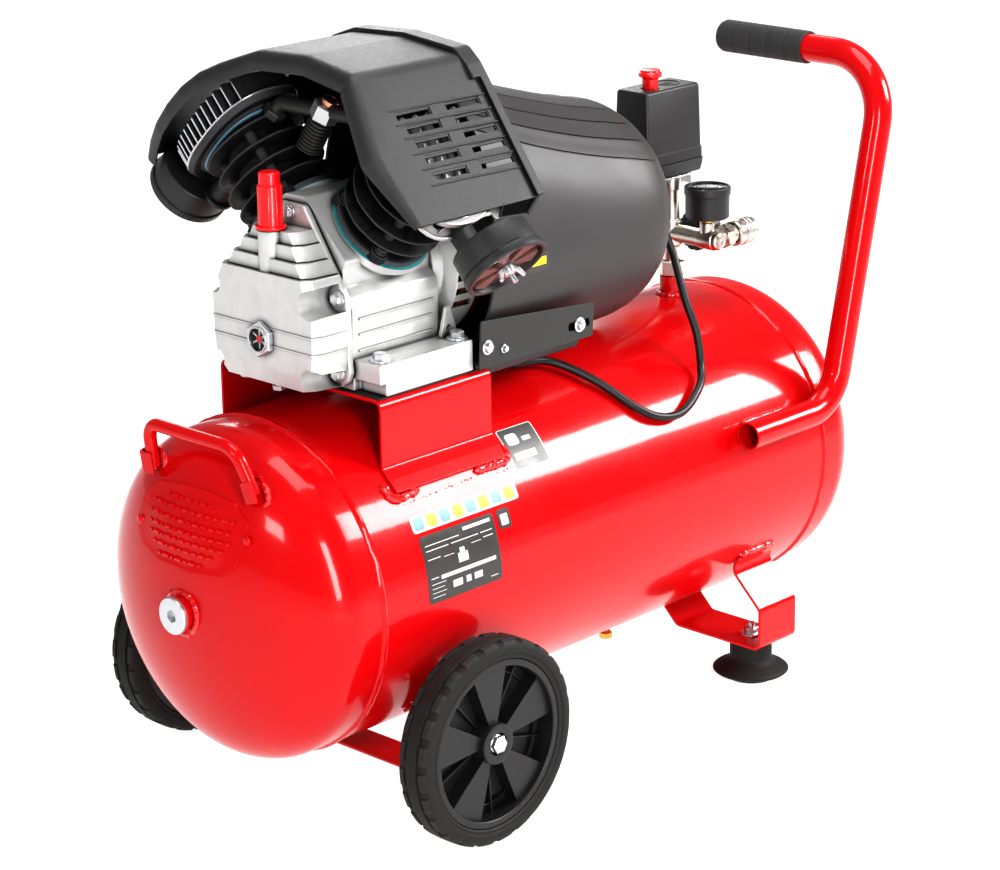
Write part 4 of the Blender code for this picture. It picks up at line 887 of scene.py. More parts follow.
def build_welds(mats):
    """Every run of weld, under the same red paint."""
    runs = []
    side = math.degrees(math.asin(0.1175 / 0.1515))
    runs.append([tank_point(x, side + d, 0.1505) for x, d in ((-0.252, -5.0), (-0.2515, -1.5), (-0.248, 0.9),
        (-0.238, 1.4), (-0.228, 0.9), (-0.218, 0.7))])
    runs.append([tank_point(x, side + d, 0.1505) for x, d in ((-0.15, 0.8), (-0.138, 1.0), (-0.124, 1.0),
        (-0.111, 0.6), (-0.106, -1.6), (-0.1055, -4.0))])
    runs.append([tank_point(x, -side - d, 0.1505) for x, d in ((-0.249, 0.0), (-0.24, 1.2), (-0.222, 0.9))])
    runs.append([tank_point(x, -side - d, 0.1505) for x, d in ((-0.138, 1.0), (-0.124, 1.2), (-0.107, 0.3))])
    top = 0.2635 + 0.0065
    stations = (0.19, 0.205, 0.22, 0.238, 0.252)
    runs.append([Vector((x, -0.1395 - 0.0006 * math.sin(x * 300), top)) for x in stations])
    runs.append([Vector((x, -0.1395, 0.2635 - 0.0065)) for x in (0.195, 0.225, 0.25)])
    for side_sign in (1, -1):
        for angle in (59.0, 5.0):
            y, z = under_tank(angle, 0.1505)
            runs.append([Vector((x, side_sign * y, z)) for x in (0.201, 0.215, 0.233, 0.253)])
        y, z = under_tank(45.5, 0.1505)
        runs.append([Vector((x, side_sign * y, z)) for x in (-0.229, -0.22, -0.206, -0.195)])
    runs.append(ring_path((OUTLET_X, 0.0, TANK_Z + TANK_R + 0.0006), Z_AXIS, 0.0122))
    for y, z in ((-0.0668, 0.3208), (0.0602, 0.3212)):
        at = head_point(y, z)
        out = (at - head_point(y, z, -0.01)).normalized()
        runs.append(ring_path(at, out, 0.0098, squash=0.85))
    shapes = [bead(run, 0.004 if k < 2 else 0.003, 1.0 + 2.3 * k) for k, run in enumerate(runs)]
    piece("painted_welds", join(shapes), mats["red_weld"])
    spatter = []
    for k in range(26):
        x = -0.244 + 0.134 * ((k * 0.618) % 1.0)
        a = side + 2.4 + 1.6 * ((k * 0.37) % 1.0)
        size = 0.0004 + 0.0006 * ((k * 0.71) % 1.0)
        dome = turned([(0.0, 0.0), (0.0, size), (size * 0.7, size * 0.7), (size, 0.0)], 10)
        at = tank_point(x, a, 0.15)
        spatter.append(moved(dome, along(at, at - Vector((x, 0.0, TANK_Z)))))
    piece("weld_spatter", join(spatter), mats["red_weld"])


# ---------------------------------------------------------------- wheels and drain
def build_wheels(mats):
    """Two wheels: a notched tyre on a five-spoked disc, each on its own axle screw."""
    half, rim_half = 0.0168, 0.015
    notches = 24
    angles = []
    for k in range(notches):
        for share in (0.0, 0.04, 0.18, 0.32, 0.36, 0.52, 0.68, 0.84):
            angles.append(2 * math.pi * (k + share) / notches)
    tyre = [(rim_half, 0.0758), (half - 0.0006, 0.0772), (half - 0.001, 0.0795), (half, 0.081),
        (half, 0.0855), (half - 0.0008, 0.0882), (half - 0.003, 0.0909), (half - 0.005, 0.0916),
        (half - 0.008, 0.0918), (half - 0.0088, 0.09), (half - 0.0106, 0.09),
        (half - 0.0114, 0.092), (0.002, 0.092)]
    profile = tyre + [(-z, r) for z, r in reversed(tyre)]

    def notched(angle, z, radius):
        turns = (angle * notches / (2 * math.pi)) % 1.0
        on_shoulder = half - 0.0084 < abs(z) < half - 0.0028 and radius > 0.088
        return radius - 0.0014 if on_shoulder and 0.03 < turns < 0.33 else radius

    for name, side in (("near", -1), ("far", 1)):
        body = name + "_wheel"
        centre = Vector((WHEEL_X, side * WHEEL_Y, WHEEL_Z))
        place = along(centre, (0.0, -side, 0.0))
        shape = turned(profile, closed=True, angles=angles, vary=notched)
        piece(name + "_tyre_tread", shape, mats["rubber"], body, [name + "_tyre"], place=place, sharp=28)

        front = -rim_half
        rim = soft([(front, 0.01), (front, 0.0182), (front + 0.003, 0.0185), (0.0045, 0.0185),
            (0.0045, 0.069), (front + 0.0008, 0.069), (front, 0.07), (front + 0.0002, 0.0752),
            (rim_half, 0.0754), (rim_half, 0.069), (0.0075, 0.069), (0.0075, 0.0185), (rim_half, 0.0185),
            (rim_half, 0.0062), (-0.009, 0.0062), (-0.009, 0.01)], 0.0007, 2, closed=True)
        disc = piece(name + "_wheel_disc", turned(rim, 96, closed=True), mats["rim"], body,
            [name + "_wheel_rim"], place=place, bevel=0.0005)
        for i in range(5):
            angle = side * math.radians(94 + 72 * i)
            wedge = [(0.017, -0.005), (0.044, -0.0136), (0.07, -0.0212), (0.0712, 0.0), (0.07, 0.0212),
                (0.044, 0.0136), (0.017, 0.005)]
            turn = place @ spin(angle)
            carve(disc, prism(wedge, -0.01, 0.006, "z"), turn, "UNION")
        ribs = []
        for i in range(5):
            turn = spin(side * math.radians(94 + 36 + 72 * i))
            ribs.append(moved(box(0.0182, 0.0694, -0.0008, 0.0008, -0.001, 0.005), turn))
        ribs.append(turned([(0.0, 0.06), (0.0, 0.0612), (0.005, 0.0612), (0.005, 0.06)], 72, closed=True))
        piece(name + "_wheel_ribs", join(ribs), mats["rim"], body, place=place, bevel=0.0003)

        head = along((WHEEL_X, side * 0.199, WHEEL_Z), (0.0, side, 0.0))
        bolt = join([hex_bolt(0.0082, 0.0068, 1.05), rod(0.0052, -0.056, 0.001)])
        piece(name + "_axle_screw", bolt, mats["zinc"], nodes=[name + "_axle_bolt"], place=head, bevel=0.0003)


def build_drain(mats):
    """The brass drain under the tank, with its knurled screw."""
    place = shift(0.153, 0.0, 0.0)
    body = join([prism(polygon(6, 0.0078), 0.048, 0.059, "z"),
        lathe([(0.039, 0.0024), (0.039, 0.0062), (0.05, 0.0062), (0.05, 0.0024)], 0.0005, 40, closed=True)])
    piece("drain_fitting", body, mats["brass"], nodes=["drain_valve"], place=place, bevel=0.0004)

    def knurled(angle, z, radius):
        on_head = z < 0.035 and radius > 0.004
        return radius * (1 + (0.05 * math.cos(20 * angle) if on_head else 0))

    screw = lathe([(0.029, 0.0), (0.029, 0.006), (0.034, 0.006), (0.0385, 0.0021), (0.06, 0.0021),
        (0.06, 0.0)], 0.0006, 40, vary=knurled)
    piece("drain_thumb_screw", screw, mats["brass"], "drain_screw", ["drain_screw"], place=place)


# ---------------------------------------------------------------- crankcase
def cover_ring(z, face, front, side, back):
    """One level of the cover: its face, two chamfered corners and its sides, back to the flange."""
    corner = face + 0.0085
    return [(face, -front, z), (face, front, z), (corner, side, z), (-0.244, back, z),
            (-0.244, -back, z), (corner, -side, z)]


def build_cover(mats):
    """The cast cover: a bead-edged flange, a flat-faced body and four ledges that step back to the filler."""
    face = COVER_X
    levels = [(0.39, face + 0.002, 0.047, 0.053, 0.059), (0.404, face, 0.0585, 0.064, 0.0655),
        (0.4236, face, 0.061, 0.0652, 0.0658), (0.4238, face - 0.0009, 0.0614, 0.066, 0.0664),
        (0.425, face - 0.0009, 0.0614, 0.066, 0.0664), (0.4252, face, 0.061, 0.0652, 0.0658),
        (0.4386, face, 0.0612, 0.0654, 0.0659), (0.4388, face - 0.0009, 0.0616, 0.0662, 0.0665),
        (0.44, face - 0.0009, 0.0616, 0.0662, 0.0665), (0.4402, face, 0.0612, 0.0654, 0.0659),
        (0.459, face, 0.0616, 0.0655, 0.066), (0.485, face + 0.0004, 0.049, 0.055, 0.056),
        (0.4865, face + 0.0004, 0.0488, 0.0552, 0.056), (0.4866, face + 0.0048, 0.0455, 0.051, 0.0535),
        (0.4985, face + 0.0048, 0.0385, 0.045, 0.0465), (0.4986, face + 0.0092, 0.036, 0.0418, 0.0445),
        (0.511, face + 0.0092, 0.03, 0.0362, 0.0375), (0.5111, face + 0.0134, 0.0275, 0.0335, 0.0355),
        (0.5215, face + 0.0134, 0.0215, 0.0275, 0.029)]
    cover = piece("crankcase_cover_casting", loft([cover_ring(*level) for level in levels]),
        mats["aluminium"], nodes=["crankcase_cover"], bevel=0.0009, steps=3)
    # Near-black lines along the feet of the three upper ledges are painted shadow.
    shadows = []
    for z, depth, front, side, back in ((0.4868, 0.0048, 0.0455, 0.051, 0.0535),
            (0.4988, 0.0092, 0.036, 0.0418, 0.0445), (0.5113, 0.0134, 0.0275, 0.0335, 0.0355)):
        corners = [Vector(p) for p in cover_ring(z, face + depth, front, side, back)]
        shadows.append(swept(corners[4:] + corners[:4], 0.0006, 8))
    piece("cover_ledge_shadows", join(shadows), mats["dark"])
    column = turned([(0.483, 0.0), (0.483, 0.0118), (0.5215, 0.0114), (0.5215, 0.0)], 48)
    carve(cover, column, shift(FILLER_X, 0.0, 0.0), "UNION")
    rim = [(-0.05, 0.3885), (-0.0645, 0.393), (-0.069, 0.403), (-0.0668, 0.415), (-0.0668, 0.454),
        (-0.0672, 0.464), (-0.062, 0.4745), (-0.018, 0.54)]
    outline = soft(mirrored(rim), 0.007, 3, closed=True)
    piece("crankcase_cover_flange", prism(outline, -0.2474, -0.2404),
        mats["aluminium"], bevel=0.0024, steps=4)
    # Pockets leave room for a spanner on each bolt.
    spots = [(-0.058, 0.4668, 0.0128), (-0.056, 0.4008, 0.0105),
        (0.06, 0.4668, 0.008), (0.058, 0.4008, 0.0075)]
    for y, z, radius in spots:
        carve(cover, rod(radius, -0.3, -0.2472, 32), along((0.0, y, z), X_AXIS))
    carve(cover, rod(0.0125, -0.29, -0.2815, 32), along((0.0, 0.0, GLASS_Z), X_AXIS))
    bolts = []
    for y, z in [(y, z) for y, z, _ in spots] + [(0.0, 0.5325)]:
        bolts.append(moved(hex_bolt(0.0056, 0.0062, 1.25), along((-0.2474, y, z), -X_AXIS)))
    piece("cover_bolts", join(bolts), mats["zinc"], bevel=0.0003)
    drains = []
    for y, drop in ((0.043, 0.0035), (0.002, 0.0075)):
        drains.append(moved(rod(0.0036, 0.0, 0.01), shift(-0.264, y, 0.386 - drop)))
        drains.append(moved(prism(polygon(6, 0.006), 0.0, 0.004, "z"), shift(-0.264, y, 0.3868 - drop)))
    piece("sump_plugs", join(drains), mats["zinc"], bevel=0.0003)


def build_case(mats):
    """The crankcase: a grooved box under two decks at right angles, with ribbed webs beside the cover."""
    total = DECK * math.sqrt(2) + CRANK_Z
    half = [(-0.0645, 0.406), (-0.0665, 0.456), (-0.064, 0.466), (-0.056, 0.474), (-0.056, 0.49),
        (-0.06, total - 0.064), (-0.012, total - 0.016)]
    outline = soft(mirrored(half), 0.006, 4, closed=True)
    case = piece("crankcase_casting", prism(outline, -0.2404, -0.138), mats["aluminium"],
        nodes=["crankcase"], bevel=0.001)
    radius = 0.0465
    for name, x, up in (("near", NEAR_CYL_X, NEAR_UP), ("far", FAR_CYL_X, FAR_UP)):
        place = along(CRANK + X_AXIS * x, up)
        boss = turned([(0.03, 0.0), (0.03, 0.033), (0.044, 0.038), (0.056, radius), (DECK - 0.0006, radius),
            (DECK - 0.0006, 0.0)], 64)
        carve(case, boss, place, "UNION")
        gasket = turned([(DECK - 0.0006, 0.025), (DECK - 0.0006, radius - 0.0004),
            (DECK + 0.0004, radius - 0.0004), (DECK + 0.0004, 0.025)], 64, closed=True)
        piece(name + "_gasket", gasket, mats["gasket"], place=place)
    ribs, grooves = [], []
    for side in (-1, 1):
        for z in (0.4474, 0.4338, 0.4195):
            y = side * (0.0645 + 0.002 * (z - 0.406) / 0.05)
            path = [(x, y + side * 0.0004, z) for x in (-0.233, -0.2325, -0.145, -0.1445)]
            grooves.append(swept(path, 0.001, 10))
        # The slanted web behind the cover's flange, and its short light ribs.
        down = Vector((0.0, side * 0.0545, -0.083)).normalized()
        top = Vector((-0.2404, side * 0.015, 0.544))
        out = Vector((0.0, side * 0.083, 0.0545)).normalized()
        for k in range(4):
            at = top + down * (0.012 + 0.0165 * k) - out * 0.0025
            end = at + X_AXIS * 0.019 + down * 0.0045
            ribs.append(swept([at, end], 0.0013, 10))
        edge = [top + X_AXIS * 0.015 + down * 0.008, top + X_AXIS * 0.02 + down * 0.055,
            top + X_AXIS * 0.0215 + down * 0.068]
        ribs.append(swept([p - out * 0.003 for p in edge], 0.0016, 10))
    web_half = [(-0.061, 0.464), (-0.016, 0.533)]
    webs = prism(soft(mirrored(web_half), 0.004, 3, closed=True), -0.2404, -0.212)
    carve(case, webs, operation="UNION")
    piece("case_ribs", join(ribs + grooves), mats["aluminium"])

    base = prism([(-0.24, -0.098), (-0.24, 0.098), (-0.128, 0.098), (-0.128, -0.098)], 0.3849, 0.413, "z")
    block = piece("pump_base", base, mats["aluminium"], bevel=0.0016, steps=3)
    for side in (-1, 1):
        cut = box(-0.242, -0.233, side * 0.083 - 0.017, side * 0.083 + 0.017, 0.38, 0.396)
        carve(block, cut)
    bolts = []
    for x, y in ((-0.227, -0.085), (-0.135, -0.085), (-0.227, 0.085), (-0.135, 0.085)):
        bolts.append(moved(hex_bolt(0.0066, 0.0072, 1.45), shift(x, y, 0.413)))
    piece("base_bolts", join(bolts), mats["zinc"], bevel=0.0003)
    ears = []
    for side in (-1, 1):
        ear = prism(soft([(-0.145, 0.412), (-0.123, 0.412), (-0.133, 0.44), (-0.137, 0.44)], 0.003,
            closed=True), side * 0.0735 - 0.0018, side * 0.0735 + 0.0018, "y")
        ears.append(ear)
    ear_piece = piece("case_ears", join(ears), mats["aluminium"], bevel=0.0006)
    carve(ear_piece, rod(0.0026, -0.09, 0.09, 20), along((-0.135, 0.0, 0.421), Y_AXIS))


def build_end_bell(mats):
    """The motor's cast end bell, with cooling slots round its rim."""
    bell = soft([(-0.1377, 0.0125), (-0.1377, 0.06), (-0.129, 0.064), (-0.124, 0.0772), (-0.0977, 0.078),
        (-0.0977, 0.0735), (-0.1187, 0.0735), (-0.127, 0.054), (-0.127, 0.0125)], 0.0015, 3, closed=True)
    made = piece("bell_casting", turned(bell, 96, closed=True), mats["aluminium"], nodes=["motor_end_bell"],
        place=along(CRANK, X_AXIS), bevel=0.0006)
    for side in (-1, 1):
        for k in range(6):
            lift = -0.034 + 0.0125 * k
            slot = box(-0.1235, -0.102, side * 0.072 - 0.02, side * 0.072 + 0.02,
                CRANK_Z + lift - 0.003, CRANK_Z + lift + 0.003)
            carve(made, slot)


def build_breather(mats):
    """The red ribbed plug in the crankcase's filler, on a dark seal."""
    top = 0.5218
    profile = soft([(top, 0.0), (top, 0.0132), (top + 0.0034, 0.0132), (top + 0.004, 0.0108),
        (top + 0.0372, 0.0108), (top + 0.039, 0.0092), (top + 0.0482, 0.0092), (top + 0.049, 0.008),
        (top + 0.049, 0.0)], 0.0006)

    def ribbed(angle, z, radius):
        on_body = top + 0.006 < z < top + 0.0375 and radius > 0.01
        return radius - 0.0006 if on_body and math.cos(angle * 12) < -0.55 else radius

    place = shift(FILLER_X, 0.0, 0.0)
    piece("filler_cap", turned(profile, 144, vary=ribbed), mats["red_plastic"], "breather_plug",
        ["breather_plug"], place=place)
    seal = turned([(top - 0.0004, 0.009), (top - 0.0004, 0.0126), (top + 0.0006, 0.0134),
        (top + 0.0008, 0.009)], 48, closed=True)
    piece("filler_cap_seal", seal, mats["dark"], "breather_plug", place=place)


def build_sight_glass(mats):
    """The oil window in a hexagonal nut, with a red dot on a star of three crossed bars behind it."""
    place = along((COVER_X, 0.0, GLASS_Z), -X_AXIS)
    nut = hexagon(0.0158, [(0.0002, 1.0), (0.005, 1.0), (0.0058, 0.93)])
    ring = piece("sight_nut", nut, mats["zinc"], nodes=["sight_glass"], place=place, bevel=0.0004)
    carve(ring, rod(0.01, 0.0012, 0.02, 48), place)
    lip = lathe([(0.005, 0.0098), (0.005, 0.0118), (0.0068, 0.0116),
        (0.0068, 0.0098)], 0.0005, 64, closed=True)
    piece("sight_lip", lip, mats["steel"], place=place)
    piece("sight_back", rod(0.0099, 0.0013, 0.002, 48), mats["dark"], place=place)
    star = []
    for k in range(3):
        star.append(moved(box(-0.0092, 0.0092, -0.0008, 0.0008, 0.0021, 0.003), spin(k * math.pi / 3)))
    piece("sight_star", join(star), mats["steel"], place=place)
    piece("sight_dot", rod(0.0034, 0.0022, 0.0034, 32), mats["red_plastic"], place=place)
    piece("sight_window", lathe([(0.0038, 0.0), (0.0038, 0.0099), (0.0048, 0.0099), (0.0054, 0.0)], 0.0004,
        48), make_glass(), place=place)


# ---------------------------------------------------------------- cylinders, heads and filters
def build_cylinder(name, x, up, mats):
    """A rough black barrel: a lugged base flange and deep, uneven fins."""
    fins = [0.084, 0.102, 0.12, 0.138]
    start = 0.0646
    profile = [(start, 0.0215), (start, 0.044), (start + 0.0055, 0.044), (start + 0.006, 0.032)]
    for k, z in enumerate(fins):
        reach = 0.0466 + 0.0012 * (k % 2)
        profile += [(z - 0.0025, 0.029), (z - 0.0014, reach - 0.001)]
        profile += [(z - 0.0006, reach), (z + 0.0006, reach),
            (z + 0.0014, reach - 0.001), (z + 0.0025, 0.029)]
    profile += [(0.144, 0.029), (0.144, 0.0215)]

    def lumpy(angle, z, radius):
        where = Vector((math.cos(angle) * 3, math.sin(angle) * 3, z * 90))
        return radius * (1.0 + 0.016 * noise.noise(where) + 0.006 * noise.noise(where * 5))

    place = along(CRANK + X_AXIS * x, up)
    shape = turned(profile, 120, closed=True, vary=lumpy)
    piece(name + "_barrel", shape, mats["black_casting"], nodes=[name + "_cylinder"], place=place)
    lugs, bolts = [], []
    for k in range(4):
        turn = spin(math.radians(45 + 90 * k))
        at = turn @ shift(0.0395, 0.0, 0.0)
        lugs.append(moved(lathe([(start, 0.0), (start, 0.009), (start + 0.0085, 0.0082),
            (start + 0.0085, 0.0)], 0.001, 32), at))
        lugs.append(moved(turned([(start + 0.006, 0.0), (start + 0.006, 0.0046), (0.14, 0.0046), (0.14, 0.0)],
            16), turn @ shift(0.033, 0.0, 0.0)))
        bolts.append(moved(hex_bolt(0.0052, 0.0055, 1.2), at @ shift(0.0, 0.0, start + 0.0085)))
    piece(name + "_barrel_lugs", join(lugs), mats["black_casting"], place=place, bevel=0.0004)
    piece(name + "_barrel_bolts", join(bolts), mats["black_paint"], place=place, bevel=0.0003)


def square(half_x, half_y):
    """The corners of a rectangle about the middle."""
    return [(-half_x, -half_y), (half_x, -half_y), (half_x, half_y), (-half_x, half_y)]


def oval(half_x, reach, shift=0.006, power=2.4, count=72):
    """The plan of a cylinder head: a rounded oblong that reaches further towards its own filter."""
    points = []
    for i in range(count):
        a = 2 * math.pi * i / count
        c, s = math.cos(a), math.sin(a)
        points.append((half_x * math.copysign(abs(c) ** (2 / power), c),
            reach * math.copysign(abs(s) ** (2 / power), s) + shift))
    return points


def head_place(x, up, down):
    """Local Z up the cylinder, local X along the compressor and local Y towards the filter."""
    turn = Matrix((X_AXIS, down, up)).transposed().to_4x4()
    return Matrix.Translation(CRANK + X_AXIS * x) @ turn


def oval_stack(levels, shift=0.006):
    """A solid through ovals at (height, half length, reach) levels."""
    return loft([[(p, q, z) for p, q in oval(half_x, reach, shift)] for z, half_x, reach in levels])


def build_near_head(mats):
    """The near head: a bright flared casting under the hood, with fins that show through the louvres."""
    place = head_place(NEAR_CYL_X, NEAR_UP, NEAR_DOWN)
    flange = oval_stack([(0.1415, 0.03, 0.03), (0.1425, 0.033, 0.036), (0.1432, 0.04, 0.05),
        (0.1442, 0.0452, 0.054), (0.149, 0.046, 0.0545), (0.1496, 0.045, 0.0535)])
    piece("near_head_casting", flange, mats["aluminium"], nodes=["near_cylinder_head"],
        place=place, bevel=0.0005, sharp=50)
    fins = []
    for i in range(6):
        across = (i - 2.5) * 0.015
        low = [(-0.044, 0.149), (0.036, 0.149), (0.036, 0.152), (-0.044, 0.164)]
        fins.append(moved(prism(soft(low, 0.002, 2, closed=True), -0.0012, 0.0012),
            shift(across, 0.0, 0.0) @ spin(0.25)))
    piece("near_head_fins", join(fins), mats["aluminium"], place=place, bevel=0.0004)
    web = []
    for across, lean in ((-0.025, -0.25), (-0.002, 0.0), (0.02, 0.3)):
        edge = soft([(0.028, 0.124), (0.034, 0.124), (0.048, 0.136), (0.0575, 0.144),
            (0.028, 0.144)], 0.004, 3, closed=True)
        web.append(moved(prism(edge, -0.0016, 0.0016), shift(across, 0.0, 0.0) @ spin(lean)))
    piece("near_port_ribs", join(web), mats["aluminium"], place=place, bevel=0.0007)
    # The skirt under the hood's lower edge: a dished lip with two blades that sweep back from it.
    skirt = [(-0.2309, 0.5389), (-0.2111, 0.5445), (-0.1324, 0.5438), (-0.1351, 0.5279), (-0.14, 0.528),
        (-0.1471, 0.5345), (-0.1652, 0.5318), (-0.1822, 0.5222), (-0.2069, 0.5243), (-0.2242, 0.5326)]
    piece("near_skirt", prism(soft(skirt, 0.002, 2, closed=True), -0.1385, -0.136, "y"), mats["aluminium"])
    # The pocket and the gap are flat near-black sheets on the skirt, painted shade.
    pocket = [(-0.2118, 0.5431), (-0.1812, 0.5442), (-0.1932, 0.5379), (-0.2098, 0.5317), (-0.2155, 0.5362)]
    gap = [(-0.1827, 0.5215), (-0.1718, 0.5297), (-0.1537, 0.534), (-0.1452, 0.5333),
        (-0.1455, 0.5196), (-0.1721, 0.5144)]
    hollows = [prism(soft(pocket, 0.002, 2, closed=True), -0.139, -0.138, "y"),
        prism(gap, -0.139, -0.1375, "y")]
    piece("near_skirt_shade_sheets", join(hollows), mats["dark"])
    lip = [(-0.2336, 0.5388), (-0.2257, 0.5327), (-0.2177, 0.5276), (-0.2085, 0.524),
        (-0.1967, 0.5222), (-0.1837, 0.5227)]
    high = [(-0.2095, 0.5293), (-0.2, 0.5334), (-0.1904, 0.538), (-0.175, 0.5406), (-0.1606, 0.5414)]
    low = [(-0.1837, 0.5227), (-0.1776, 0.5284), (-0.1668, 0.5332), (-0.1547, 0.5352), (-0.1463, 0.5345)]
    blades = []
    for path, radius in ((lip, 0.0015), (high, 0.0012), (low, 0.0024)):
        route = smooth_route([Vector((x, -0.1395, z)) for x, z in path], 0.001)
        last = len(route) - 1

        def tapered(i):
            return radius * min(1.0, 0.45 + 0.15 * min(i, last - i))

        blades.append(swept(route, tapered, 12))
    piece("near_skirt_blades", join(blades), mats["aluminium"])
    port = along(CRANK + X_AXIS * NEAR_CYL_X + NEAR_UP * PORT_UP, NEAR_DOWN)
    flare = lathe([(0.032, 0.0), (0.032, 0.015), (0.044, 0.016), (0.052, 0.014), (0.056, 0.014),
        (0.056, 0.0)], 0.002, 64)
    piece("near_port_flare", flare, mats["aluminium"], place=port)


def build_far_head(mats):
    """The far head: a thick machined flange over a pale blue gasket, with a comb of black fins on top."""
    place = head_place(FAR_CYL_X, FAR_UP, FAR_DOWN)
    under = oval_stack([(0.143, 0.029, 0.033), (0.145, 0.033, 0.04), (0.15, 0.04, 0.051)])
    piece("far_head_skirt", under, mats["black_casting"], nodes=["far_cylinder_head"], place=place, sharp=50)
    seal = oval_stack([(0.1462, 0.0366, 0.045), (0.1462, 0.0372, 0.0456), (0.1476, 0.0385, 0.0472),
        (0.1476, 0.0375, 0.046)])
    piece("far_head_seal", seal, mats["label_blue"], place=place)
    flange = oval_stack([(0.15, 0.043, 0.058), (0.1504, 0.0456, 0.0604), (0.1566, 0.0474, 0.0622),
        (0.1572, 0.047, 0.0618)])
    piece("far_head_flange", flange, mats["black_casting"], place=place, sharp=50)
    line = [(p, q, 0.1569) for p, q in oval(0.0474, 0.0622)]
    piece("far_head_bare_rim", swept(line + line[:2], 0.0011, 8), mats["bare_edge"], place=place)
    fins, edges = [], []
    for i in range(13):
        reach = -0.045 + i * 0.0084
        share = min(abs(reach - 0.006) / 0.0622, 1.0)
        half = 0.046 * (1.0 - share**2.4) ** (1 / 2.4)
        if half < 0.012:
            continue
        outline = soft([(-half, 0.157), (-half * 0.97, 0.1815), (half * 0.97, 0.1815),
            (half, 0.157)], 0.004, 3)
        fins.append(prism(outline, reach - 0.001, reach + 0.001, "y"))
        for end, lean in ((-half, 0.03), (half, -0.03)):
            tip = end + lean * half
            edge = [(end - 0.0004, 0.1575), (end + 0.0004, 0.1575),
                (tip + 0.0004, 0.179), (tip - 0.0004, 0.179)]
            edges.append(prism(edge, reach - 0.0009, reach + 0.0009, "y"))
    piece("far_head_fins", join(fins), mats["black_casting"], place=place, bevel=0.0003)
    piece("far_head_fin_edges", join(edges), mats["bare_edge"], place=place, bevel=0.0002)


def build_valve_nut(mats):
    """In the V: a pipe end under a union nut, on a finned black barrel, and a corrugated hose."""
    foot = Vector((-0.206, 0.019, 0.5765))
    up = Vector((0.12, -0.55, 1.0))
    place = along(foot, up)
    spring = [(0.0, 0.0)]
    for k in range(9):
        z = 0.0005 + 0.0034 * k
        spring += [(z, 0.0098), (z + 0.0006, 0.0114), (z + 0.0017, 0.0114), (z + 0.0023, 0.0098)]
    spring.append((0.032, 0.0))
    piece("union_barrel", turned(spring, 48), mats["black_paint"], place=place)
    nut = hexagon(0.0128, [(0.0315, 0.92), (0.0325, 1.0), (0.0455, 1.0), (0.0468, 0.9)])
    piece("union_nut", nut, mats["zinc"], place=place, bevel=0.0004)
    pipe_end = lathe([(0.046, 0.0045), (0.046, 0.0076), (0.052, 0.0076),
        (0.0535, 0.0045)], 0.0008, 40, closed=True)
    piece("union_pipe_end", pipe_end, mats["copper"], place=place)
    hose = [Vector((-0.175, -0.008, 0.53)), Vector((-0.165, -0.014, 0.556)), Vector((-0.15, -0.018, 0.58)),
        Vector((-0.13, -0.016, 0.6))]
    line = smooth_route(hose, 0.0008)
    piece("breather_hose", swept(line, lambda i: 0.0072 + 0.0012 * math.sin(i * 1.6), 24), mats["plastic"])


def build_bridge(mats):
    """The pipe that joins the two heads, with a nut at each end."""
    port = 0.0443
    near = CRANK + X_AXIS * -0.202 + NEAR_UP * 0.138 - NEAR_DOWN * port
    far = CRANK + X_AXIS * -0.202 + FAR_UP * 0.138 - FAR_DOWN * port
    corners = [near, near - NEAR_DOWN * 0.016, far - FAR_DOWN * 0.016, far]
    path = filleted(corners, [0.014, 0.014], 12)
    piece("heads_pipe", swept(path, 0.0068, 28), mats["black_paint"], nodes=["bridge_pipe"])
    nuts = []
    for at, toward in ((near, -NEAR_DOWN), (far, -FAR_DOWN)):
        nuts.append(moved(hexagon(0.0105, [(0.0002, 1.0), (0.007, 1.0), (0.008, 0.9)]), along(at, toward)))
    piece("heads_pipe_nuts", join(nuts), mats["black_paint"], bevel=0.0004)


